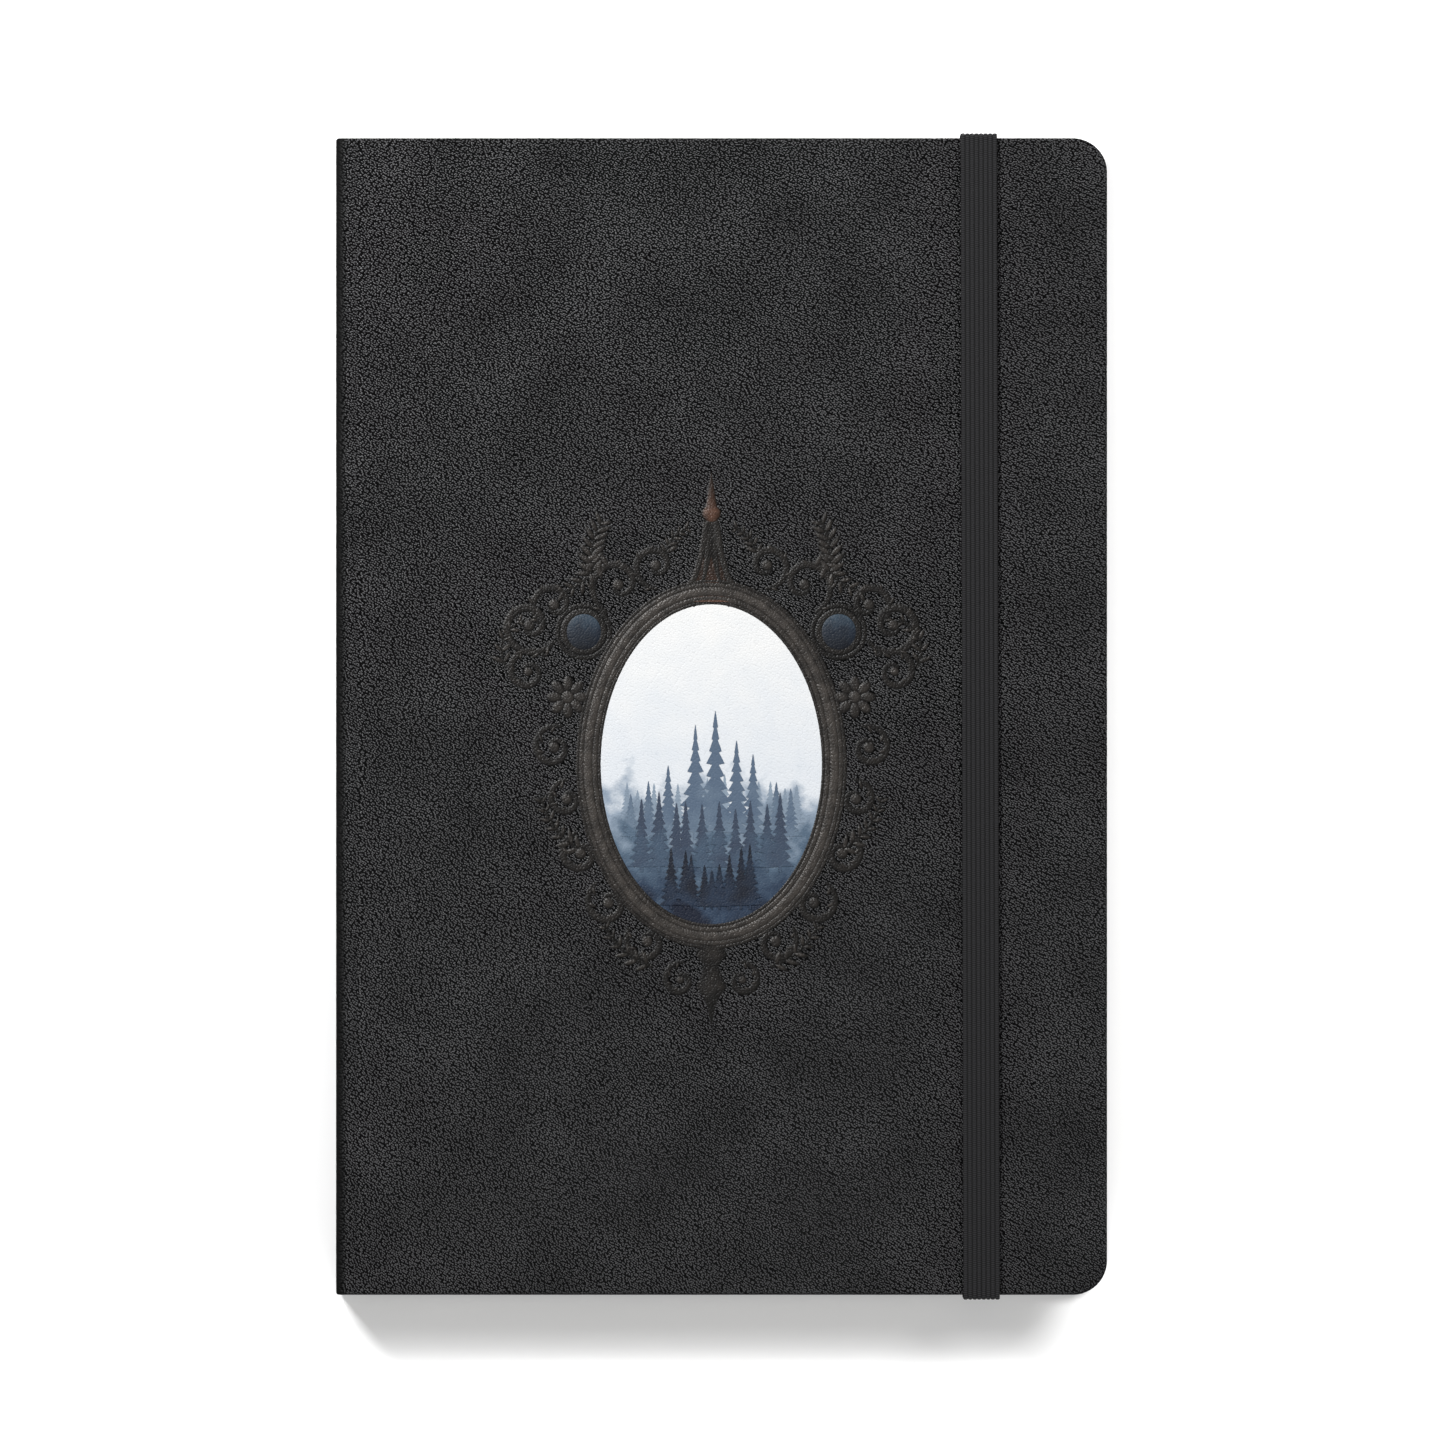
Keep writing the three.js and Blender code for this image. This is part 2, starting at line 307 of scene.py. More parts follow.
    def move(self, test: Test, by: Sequence[float]) -> "Bench":
        """Move what passes a test.

        Args:
            test: True for the places to move.
            by: The step.

        Returns:
            The piece in hand.
        """
        self._edit(test)
        bpy.ops.transform.translate(value=tuple(by))
        return self._close()

    def resize(
        self, factors: Sequence[float], centre: Sequence[float], test: Test = lambda at: True
    ) -> "Bench":
        """Scale what passes a test about a centre.

        Args:
            factors: The scale along X, Y and Z.
            centre: The point that stays still.
            test: True for the places to scale.

        Returns:
            The piece in hand.
        """
        self._edit(test)
        bpy.ops.transform.resize(value=tuple(factors), center_override=tuple(centre))
        return self._close()

    def turn(self, angle: float, axis: str, centre: Sequence[float]) -> "Bench":
        """Turn the whole piece by the right-hand rule about a line along a row axis.

        Args:
            angle: Radians.
            axis: X, Y or Z.
            centre: A point on the line.

        Returns:
            The piece in hand.
        """
        self._edit(lambda at: True)
        bpy.ops.transform.rotate(value=-angle, orient_axis=axis, center_override=tuple(centre))
        return self._close()

    def sweep(self, test: Test, by: Sequence[float]) -> "Bench":
        """Extrude what passes a test along a step.

        Args:
            test: True for the edge or face to extrude.
            by: The step.

        Returns:
            The piece in hand.
        """
        self._edit(test)
        bpy.ops.mesh.extrude_region_move(TRANSFORM_OT_translate={"value": tuple(by)})
        return self._close()

    def spin(
        self, test: Test, angle: float, centre: Sequence[float], axis: Sequence[float], steps: int
    ) -> "Bench":
        """Sweep what passes a test round a line.

        Args:
            test: True for the edge to sweep.
            angle: Radians, by the right-hand rule about the axis.
            centre: A point on the line.
            axis: The line's direction.
            steps: The number of segments.

        Returns:
            The piece in hand.
        """
        self._edit(test)
        bpy.ops.mesh.spin(steps=steps, angle=-angle, center=tuple(centre), axis=tuple(axis))
        return self._close()

    def bisect(
        self, at: Sequence[float], normal: Sequence[float], clear_outer: bool = False, fill: bool = False
    ) -> "Bench":
        """Cut the piece along a plane, and drop what lies on the normal's side if asked.

        Args:
            at: A point on the plane.
            normal: The plane's normal.
            clear_outer: Drop what lies on the normal's side.
            fill: Close the cut with a face.

        Returns:
            The piece in hand.
        """
        self._edit(lambda place: True)
        bpy.ops.mesh.bisect(
            plane_co=tuple(at),
            plane_no=tuple(normal),
            clear_outer=clear_outer,
            use_fill=fill,
            threshold=CLOSE / 10,
        )
        return self._close()

    def bevel_edges(self, test: Callable[[Vector, Vector], bool], width: float, segments: int) -> "Bench":
        """Round the edges whose two ends pass a test.

        Args:
            test: True for the ends of an edge to round.
            width: The rounding's width.
            segments: The number of segments across it.

        Returns:
            The piece in hand.
        """
        self._edit(lambda at: False)
        bpy.ops.mesh.select_mode(type="EDGE")
        mesh = bmesh.from_edit_mesh(self.piece.data)
        for edge in mesh.edges:
            edge.select = bool(test(edge.verts[0].co, edge.verts[1].co))
        bmesh.update_edit_mesh(self.piece.data)
        bpy.ops.mesh.bevel(offset=width, segments=segments, affect="EDGES", clamp_overlap=False)
        return self._close()

    def bevel_corners(self, test: Test, width: float, segments: int) -> "Bench":
        """Round the corners of a flat sheet that pass a test.

        Args:
            test: True for the corners to round.
            width: The rounding's width.
            segments: The number of segments across it.

        Returns:
            The piece in hand.
        """
        self._edit(test)
        bpy.ops.mesh.bevel(offset=width, segments=segments, affect="VERTICES", clamp_overlap=False)
        return self._close()

    def modify(self, kind: str, **settings: object) -> "Bench":
        """Add a modifier with its settings and apply it.

        Args:
            kind: The modifier's type.
            settings: The modifier's own settings.

        Returns:
            The piece in hand.
        """
        bpy.context.view_layer.objects.active = self.piece
        modifier = self.piece.modifiers.new(kind.title(), kind)
        for name, value in settings.items():
            setattr(modifier, name, value)
        bpy.ops.object.modifier_apply(modifier=modifier.name)
        return self

    def thicken(self, thickness: float, offset: float = -1.0, even: bool = True) -> "Bench":
        """Give a surface its thickness: behind its faces at offset -1, before them at 1."""
        return self.modify("SOLIDIFY", thickness=thickness, offset=offset, use_even_offset=even)

    def face_out(self) -> "Bench":
        """Merge doubled vertices and turn all faces outwards."""
        self._edit(lambda at: True)
        bpy.ops.mesh.remove_doubles(threshold=CLOSE)
        bpy.ops.mesh.normals_make_consistent(inside=False)
        return self._close()

    def face_towards(self, way: Sequence[float]) -> "Bench":
        """Turn the faces of an open surface so that most of them look a given way.

        Args:
            way: The way they should look.

        Returns:
            The piece in hand.
        """
        self.face_out()
        look = sum((face.normal * face.area for face in self.piece.data.polygons), Vector())
        if look.dot(Vector(way)) < 0:
            self._edit(lambda at: True)
            bpy.ops.mesh.flip_normals()
            self._close()
        return self

    def smooth(self, degrees: float = 35) -> "Bench":
        """Shade smooth, with a crease where faces meet more sharply than an angle.

        Args:
            degrees: The angle.

        Returns:
            The piece in hand.
        """
        bpy.ops.object.select_all(action="DESELECT")
        self.piece.select_set(True)
        bpy.context.view_layer.objects.active = self.piece
        bpy.ops.object.shade_smooth_by_angle(angle=math.radians(degrees))
        return self

    def place(self, where: Sequence[float]) -> "Bench":
        """Move the whole piece, and keep its object at the origin."""
        return self.move(lambda at: True, where)

    def dress(self, finish: "Finish", slot: str) -> bpy.types.Object:
        """Give the piece its finish.

        Args:
            finish: The finish.
            slot: The record's material slot; not used.

        Returns:
            The finished object.
        """
        self.piece.data.materials.clear()
        self.piece.data.materials.append(finish.material())
        LOG.info("made %s: %d faces", self.piece.name, len(self.piece.data.polygons))
        return self.piece


def join(name: str, benches: Iterable[Bench]) -> Bench:
    """Join several pieces in hand into one.

    Args:
        name: The joined piece's name.
        benches: The pieces.

    Returns:
        The joined piece.
    """
    Bench.clear()
    parts = [bench.piece for bench in benches]
    for part in parts:
        part.select_set(True)
    bpy.context.view_layer.objects.active = parts[0]
    bpy.ops.object.join()
    return Bench(name)


class Shader:
    """A material's node tree, wired through short calls."""

    def __init__(self, name: str, **constants: object) -> None:
        """Start a material.

        Args:
            name: The material's name.
            constants: Values for the shader's own sockets, with _ for a space.
        """
        self.material = bpy.data.materials.new(name)
        self.material.use_nodes = True
        self.tree = self.material.node_tree
        self.surface = self.tree.nodes["Principled BSDF"]
        for socket, value in constants.items():
            self.surface.inputs[socket.replace("_", " ")].default_value = value

    def node(self, kind: str, inputs: dict | None = None, **settings: object) -> bpy.types.Node:
        """Add a node.

        Args:
            kind: The node's type, without its ShaderNode prefix.
            inputs: Each input by name or index, as a value or another node's output.
            settings: The node's own settings.

        Returns:
            The node.
        """
        made = self.tree.nodes.new("ShaderNode" + kind)
        for name, value in settings.items():
            setattr(made, name, value)
        for name, value in (inputs or {}).items():
            if isinstance(value, bpy.types.NodeSocket):
                self.tree.links.new(value, made.inputs[name])
            else:
                made.inputs[name].default_value = value
        return made

    def place(self, stretch: Sequence[float] = (1, 1, 1)) -> Socket:
        """The piece's own coordinates, stretched."""
        return self.vector("MULTIPLY", self.node("TexCoord").outputs["Object"], tuple(stretch))

    def math(self, operation: str, *values: object) -> Socket:
        """A sum on one, two or three values."""
        return self.node("Math", dict(enumerate(values)), operation=operation).outputs[0]

    def vector(self, operation: str, *values: object, **named: object) -> Socket:
        """A sum on vectors."""
        return self.node("VectorMath", {**dict(enumerate(values)), **named}, operation=operation).outputs[0]

    def normal(self, socket: Socket) -> "Shader":
        """Use a direction for the surface's normal."""
        self.tree.links.new(socket, self.surface.inputs["Normal"])
        return self

    def noise(self, vector: Socket, size: float, detail: float = 2.0) -> Socket:
        """Cloudy noise whose blobs are about a given size in metres."""
        inputs = {"Vector": vector, "Scale": 1 / size, "Detail": detail}
        return self.node("TexNoise", inputs).outputs["Fac"]

    def part(self, vector: Socket, axis: str) -> Socket:
        """One coordinate of a vector."""
        return self.node("SeparateXYZ", {0: vector}).outputs[axis]

    def ramp(self, value: Socket, stops: Stops) -> Socket:
        """A colour read off a ramp.

        Args:
            value: Where on the ramp, from 0 to 1.
            stops: Each place on it with its linear colour.

        Returns:
            The colour.
        """
        made = self.node("ValToRGB", {"Fac": value})
        elements = made.color_ramp.elements
        while len(elements) < len(stops):
            elements.new(1.0)
        for element, (at, colour) in zip(elements, stops):
            element.position = at
            element.color = (*colour, 1)
        return made.outputs["Color"]

    def span(
        self, value: Socket, low: float, high: float, start: float = 0.0, end: float = 1.0
    ) -> Socket:
        """A value's stretch from low to high made to run from start to end."""
        inputs = {"Value": value, "From Min": low, "From Max": high, "To Min": start, "To Max": end}
        return self.node("MapRange", inputs).outputs["Result"]

    def colour(self, socket: Socket) -> "Shader":
        """Use a colour for the surface."""
        self.tree.links.new(socket, self.surface.inputs["Base Color"])
        return self

    def roughness(self, socket: Socket) -> "Shader":
        """Use a value for the surface's roughness."""
        self.tree.links.new(socket, self.surface.inputs["Roughness"])
        return self

    def bump(self, height: Socket, depth: float, strength: float = 1.0) -> "Shader":
        """Raise the surface by a height from 0 to 1 that stands for a depth in metres.

        Args:
            height: The height.
            depth: The depth that a height of 1 stands for.
            strength: How much of it shows.

        Returns:
            The shader.
        """
        made = self.node("Bump", {"Height": height, "Distance": depth, "Strength": strength})
        self.tree.links.new(made.outputs["Normal"], self.surface.inputs["Normal"])
        return self


class Finish:
    """A finish that makes its material once."""

    made: dict["Finish", bpy.types.Material] = {}

    def shader(self) -> Shader:
        """Wire the finish's nodes."""
        raise NotImplementedError

    def material(self) -> bpy.types.Material:
        """The finish's material, shared by all its pieces."""
        if self not in Finish.made:
            Finish.made[self] = self.shader().material
        return Finish.made[self]


@dataclass(frozen=True)
class Grain:
    """The pebbled grain of the leatherette, which shows through the print as well."""

    pebble: float = 0.43 * MM
    stretch: tuple[float, float] = (0.88, 1.1)
    turn: float = math.radians(31)
    randomness: float = 0.74
    warp: float = 0.08 * MM
    warp_size: float = 1.0 * MM
    reach: float = 0.7
    slope: float = 0.6
    soft_foot: float = 0.25

    def add(self, shader: Shader) -> Socket:
        """Make every pebble of the surface a low dome.

        Args:
            shader: The shader to add it to.

        Returns:
            The grain's height, 0 in the valleys and 1 on the pebbles.
        """
        spot = shader.place()
        x, y, z = (shader.part(spot, axis) for axis in "XYZ")
        wide, tall = self.stretch
        across = shader.math("MULTIPLY", shader.math("SUBTRACT", x, z), wide)
        along = shader.math("MULTIPLY", shader.math("ADD", y, z), tall)
        unrolled = shader.node("CombineXYZ", {"X": across, "Y": along}).outputs[0]
        unrolled = shader.node(
            "VectorRotate", {"Vector": unrolled, "Angle": self.turn}, rotation_type="Z_AXIS"
        ).outputs[0]
        blur = shader.node("TexNoise", {"Vector": unrolled, "Scale": 1 / self.warp_size, "Detail": 1.0})
        centred = shader.vector("SUBTRACT", blur.outputs["Color"], (0.5, 0.5, 0.5))
        warped = shader.vector("ADD", unrolled, shader.vector("SCALE", centred, Scale=2 * self.warp))
        cells = shader.node(
            "TexVoronoi",
            {"Vector": warped, "Scale": 1 / self.pebble, "Randomness": self.randomness},
            feature="F1",
            voronoi_dimensions="2D",
        )
        off_centre = shader.vector("SUBTRACT", warped, cells.outputs["Position"])
        off_centre = shader.node(
            "VectorRotate", {"Vector": off_centre, "Angle": -self.turn}, rotation_type="Z_AXIS"
        ).outputs[0]
        side, up = (shader.part(off_centre, axis) for axis in "XY")
        deep = shader.math("SUBTRACT", up, side)
        lean = shader.node("CombineXYZ", {"X": side, "Y": up, "Z": deep}).outputs[0]
        lean = shader.vector("SCALE", lean, Scale=2 * self.slope / self.pebble)
        turned = shader.node(
            "VectorTransform", {0: lean}, vector_type="VECTOR", convert_from="OBJECT", convert_to="WORLD"
        ).outputs[0]
        face = shader.node("NewGeometry").outputs["Normal"]
        through = shader.node("VectorMath", {0: turned, 1: face}, operation="DOT_PRODUCT").outputs["Value"]
        level = shader.vector("SUBTRACT", turned, shader.vector("SCALE", face, Scale=through))
        shader.normal(shader.vector("NORMALIZE", shader.vector("ADD", face, level)))
        off = shader.math("DIVIDE", cells.outputs["Distance"], self.reach)
        dome = shader.math("SUBTRACT", 1.0, shader.math("POWER", off, 2.0))
        return shader.math("SMOOTH_MAX", dome, 0.0, self.soft_foot)


@dataclass(frozen=True)
class Leatherette(Finish):
    """Black leatherette with a fine pebbled grain, rougher along the spine's edges and darkened there with
    painted shade.
    """

    name: str
    edge_x: float
    # Towards the spine's edges the colour is darkened as painted shade, and the roughness raised.
    edge_fade: tuple[float, float] = (0.5 * MM, 2.1 * MM)
    edge_tone: float = 0.2
    edge_painted_shade: float = 0.6
    edge_dulling: float = 0.6
    cloud_size: float = 14 * MM
    cloud_tones: tuple[float, float] = (0.92, 1.04)
    slope_at: float = 0.66
    # The grain's colours: painted shade in the valleys and painted highlights on the crowns.
    valley_painted_shade: Point = (0.0002, 0.0002, 0.0003)
    slope: Point = (0.0010, 0.0010, 0.0011)
    crown_painted_highlight: Point = (0.047, 0.047, 0.049)
    valley_roughness: float = 0.3
    crown_roughness: float = 0.2
    gloss: float = 0.17
    grain: Grain = Grain()

    def shader(self) -> Shader:
        """Valleys painted dark as painted shade and rougher, crowns painted light as painted highlights and
        smoother, faintly clouded, and at the spine's edges darkened with painted shade and made rougher.
        """
        shader = Shader(self.name, Specular_IOR_Level=self.gloss)
        height = self.grain.add(shader)
        cloud = shader.noise(shader.place(), self.cloud_size, 3.0)
        across = shader.part(shader.place(), "X")
        near, far = (self.edge_x + reach for reach in self.edge_fade)
        keep = shader.span(across, near, far, self.edge_tone, 1.0)
        tone = shader.math("MULTIPLY", height, shader.span(cloud, 0.3, 0.7, *self.cloud_tones))
        # Painted shade: the colour darkens towards the spine's edges.
        tone = shader.math("MULTIPLY", tone, shader.span(keep, self.edge_tone, 1.0, self.edge_painted_shade, 1.0))
        # The ramp paints shade into the valleys and highlights onto the crowns.
        stops = [(0.0, self.valley_painted_shade), (self.slope_at, self.slope), (1.0, self.crown_painted_highlight)]
        shader.colour(shader.ramp(tone, stops))
        shine = shader.span(height, 0.0, 1.0, self.valley_roughness, self.crown_roughness)
        dull = shader.math("MULTIPLY", shader.math("SUBTRACT", 1.0, keep), self.edge_dulling)
        return shader.roughness(shader.math("ADD", shine, dull))


@dataclass(frozen=True)
class WovenElastic(Finish):
    """Matte black woven elastic, with fine cross threads on its ribs."""

    name: str
    along: Along
    middle: float
    slant: float = BAND_SLANT
    thread_tone: float = 0.9
    fuzz_size: float = 0.16 * MM
    fuzz_share: float = 0.25
    # The colour is darkened between the ribs as painted shade.
    groove_painted_shade: float = 0.25
    pitch: float = 0.4 * MM
    rib: float = 0.85 * MM
    depth: float = 0.035 * MM
    # The dark end is reached in the painted shade of the grooves and in the dips between threads.
    groove: Point = (0.0012, 0.0012, 0.0014)
    crest: Point = (0.021, 0.021, 0.0225)

    def shader(self) -> Shader:
        """Cross threads stepping half a pitch from rib to rib, painted shade between the ribs, with a little
        fuzz.
        """
        shader = Shader(self.name, Specular_IOR_Level=0.14, Sheen_Weight=0.05, Sheen_Roughness=0.6)
        spot = shader.place()
        x, y, z = (shader.part(spot, axis) for axis in "XYZ")
        run = y if self.along is Along.Y else z
        straight = shader.math("SUBTRACT", shader.math("MULTIPLY_ADD", y, self.slant, x), self.middle)
        ribs = shader.math("DIVIDE", straight, self.rib)
        half = shader.math("MULTIPLY", shader.math("FLOOR", ribs), 0.5)
        turns = shader.math("ADD", shader.math("DIVIDE", run, self.pitch), half)
        wave = shader.math("SINE", shader.math("MULTIPLY", turns, 2 * math.pi))
        wave = shader.span(wave, -1.0, 1.0, 0.0, self.thread_tone)
        round_rib = shader.math("ABSOLUTE", shader.math("SINE", shader.math("MULTIPLY", ribs, math.pi)))
        fuzz = shader.noise(spot, self.fuzz_size, 3.0)
        weave = shader.math("ADD", wave, shader.math("MULTIPLY", fuzz, self.fuzz_share))
        # Painted shade: the colour darkens in the grooves between the ribs.
        weave = shader.math("MULTIPLY", weave, shader.span(round_rib, 0.0, 0.8, self.groove_painted_shade, 1.0))
        shader.colour(shader.ramp(weave, [(0.1, self.groove), (0.9, self.crest)]))
        shader.roughness(shader.span(fuzz, 0.3, 0.7, 0.7, 0.95))
        return shader.bump(weave, self.depth)


@dataclass(frozen=True)
class Paper(Finish):
    """Uncoated paper: a soft tooth and mottling, with the leaves' edges streaked where they are cut."""

    name: str
    light: Point
    shade: Point
    tooth: float = 0.35 * MM
    tooth_share: float = 0.25
    mottle: float = 9 * MM
    mottle_share: float = 0.06
    leaf: float = 0.12 * MM
    leaf_stretch: Point = (0.003, 0.003, 1.0)
    leaf_share: float = 0.5
    depth: float = 0.02 * MM

    def shader(self) -> Shader:
        """Tooth from fine noise, and a streak that changes from leaf to leaf."""
        shader = Shader(self.name, Roughness=0.9, Specular_IOR_Level=0.2)
        spot = shader.place()
        tooth = shader.noise(spot, self.tooth, 4.0)
        mottle = shader.noise(spot, self.mottle, 2.0)
        streak = shader.noise(shader.place(stretch=self.leaf_stretch), 1.4 * self.leaf, 1.0)
        tone = shader.math("MULTIPLY", tooth, self.tooth_share)
        tone = shader.math("ADD", tone, shader.math("MULTIPLY", mottle, self.mottle_share))
        tone = shader.math("ADD", tone, shader.math("MULTIPLY", streak, self.leaf_share))
        shader.colour(shader.ramp(tone, [(0.22, self.shade), (0.54, self.light)]))
        return shader.bump(tooth, self.depth, 0.6)


@dataclass(frozen=True)
class Speckled(Finish):
    """A fibrous board or card: two tones of speckle over a rough face."""

    name: str
    light: Point
    dark: Point
    speck: float = 0.6 * MM
    stretch: Point = (1.0, 1.0, 1.0)

    def shader(self) -> Shader:
        """Speckle from stretched noise."""
        shader = Shader(self.name, Roughness=0.95, Specular_IOR_Level=0.2)
        specks = shader.noise(shader.place(stretch=self.stretch), self.speck, 4.0)
        shader.colour(shader.ramp(specks, [(0.35, self.dark), (0.65, self.light)]))
        return shader.bump(specks, 0.04 * MM)


@dataclass(frozen=True)
class Woven(Finish):
    """A plain weave or a twist, from two crossing waves."""

    name: str
    thread: Point
    gap: Point
    pitch: float

    def shader(self) -> Shader:
        """Threads along Y over threads along Z."""
        shader = Shader(self.name, Roughness=0.95, Specular_IOR_Level=0.2)
        spot = shader.place()
        waves = [
            shader.math("SINE", shader.math("MULTIPLY", shader.part(spot, axis), 2 * math.pi / self.pitch))
            for axis in ("Y", "Z")
        ]
        weave = shader.span(shader.math("MAXIMUM", *waves), -0.4, 1.0)
        shader.colour(shader.ramp(weave, [(0.1, self.gap), (0.8, self.thread)]))
        return shader.bump(weave, 0.08 * MM)


@dataclass(frozen=True)
class Striped(Finish):
    """Headband silk, in two colours that change along the band."""

    name: str = "headband silk"
    dark: Point = (0.012, 0.012, 0.013)
    pale: Point = (0.35, 0.34, 0.33)
    pitch: float = 1.1 * MM

    def shader(self) -> Shader:
        """Stripes along Z with a fine thread in each."""
        shader = Shader(self.name, Roughness=0.7, Sheen_Weight=0.2)
        up = shader.part(shader.place(), "Z")
        stripe = shader.math("SINE", shader.math("MULTIPLY", up, 2 * math.pi / self.pitch))
        thread = shader.math("SINE", shader.math("MULTIPLY", up, 8 * math.pi / self.pitch))
        shader.colour(shader.ramp(shader.span(stripe, -0.3, 0.3), [(0.0, self.dark), (1.0, self.pale)]))
        return shader.bump(shader.span(thread, -1.0, 1.0), 0.05 * MM)


@dataclass(frozen=True)
class PrintedGradient(Finish):
    """Ink on the leatherette, whose colour runs up the print and whose grain shows through."""

    name: str
    low_y: float
    high_y: float
    stops: tuple[tuple[float, Point], ...]
    cloud: float = 0.1
    cloud_size: float = 5 * MM
    gloss: float = 0.35
    grain: Grain = Grain(slope=0.2)

    def shader(self) -> Shader:
        """The gradient along Y, broken up by soft clouds."""
        shader = Shader(self.name, Roughness=0.55, Specular_IOR_Level=self.gloss)
        spot = shader.place()
        up = shader.span(shader.part(spot, "Y"), self.low_y, self.high_y)
        drift = shader.span(shader.noise(spot, self.cloud_size, 4.0), 0.3, 0.7, -self.cloud, self.cloud)
        self.grain.add(shader)
        return shader.colour(shader.ramp(shader.math("ADD", up, drift), self.stops))


@dataclass(frozen=True)
class AgedMetalInk(Finish):
    """Ink that imitates old cast metal: dark in the hollows and worn pale on the ridges."""

    name: str
    hollow: Point
    ridge: Point
    top_z: float
    relief: float
    cloud_size: float = 1.6 * MM
    metal: float = 0.25
    grain: Grain = Grain(slope=0.25)

    def shader(self) -> Shader:
        """Tone from the height of the moulding and from patchy wear."""
        shader = Shader(self.name, Metallic=self.metal, Specular_IOR_Level=0.45)
        spot = shader.place()
        height = shader.span(shader.part(spot, "Z"), self.top_z, self.top_z + self.relief)
        wear = shader.noise(spot, self.cloud_size, 5.0)
        tone = shader.math("MULTIPLY", height, shader.span(wear, 0.35, 0.7, 0.5, 1.1))
        shader.colour(shader.ramp(tone, [(0.1, self.hollow), (0.95, self.ridge)]))
        self.grain.add(shader)
        return shader.roughness(shader.span(wear, 0.3, 0.7, 0.5, 0.36))


DRAWING_PAPER = Paper("drawing paper", (0.50, 0.485, 0.44), (0.36, 0.34, 0.29))
ENDPAPER = Paper("endpaper", (0.51, 0.49, 0.43), (0.43, 0.41, 0.355), tooth=0.5 * MM)
GREYBOARD = Speckled("binder's board", (0.20, 0.19, 0.16), (0.11, 0.10, 0.09))
KRAFT = Speckled("kraft paper", (0.30, 0.20, 0.11), (0.20, 0.13, 0.07), stretch=(1.0, 0.2, 1.0))
GAUZE = Woven("gauze", (0.48, 0.45, 0.38), (0.19, 0.18, 0.14), 1.2 * MM)
THREAD = Woven("linen thread", (0.56, 0.55, 0.51), (0.30, 0.29, 0.25), 0.5 * MM)
LEATHERETTE = Leatherette("black leatherette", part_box("spine_covering")[0].x)
HEADBAND = Striped()
BAND_MIDDLE = sum(corner.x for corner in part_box("elastic_band")) / 2
ELASTIC_ON_FACE = WovenElastic("elastic along the cover", Along.Y, BAND_MIDDLE)
ELASTIC_ON_EDGE = WovenElastic("elastic round the edge", Along.Z, BAND_MIDDLE)


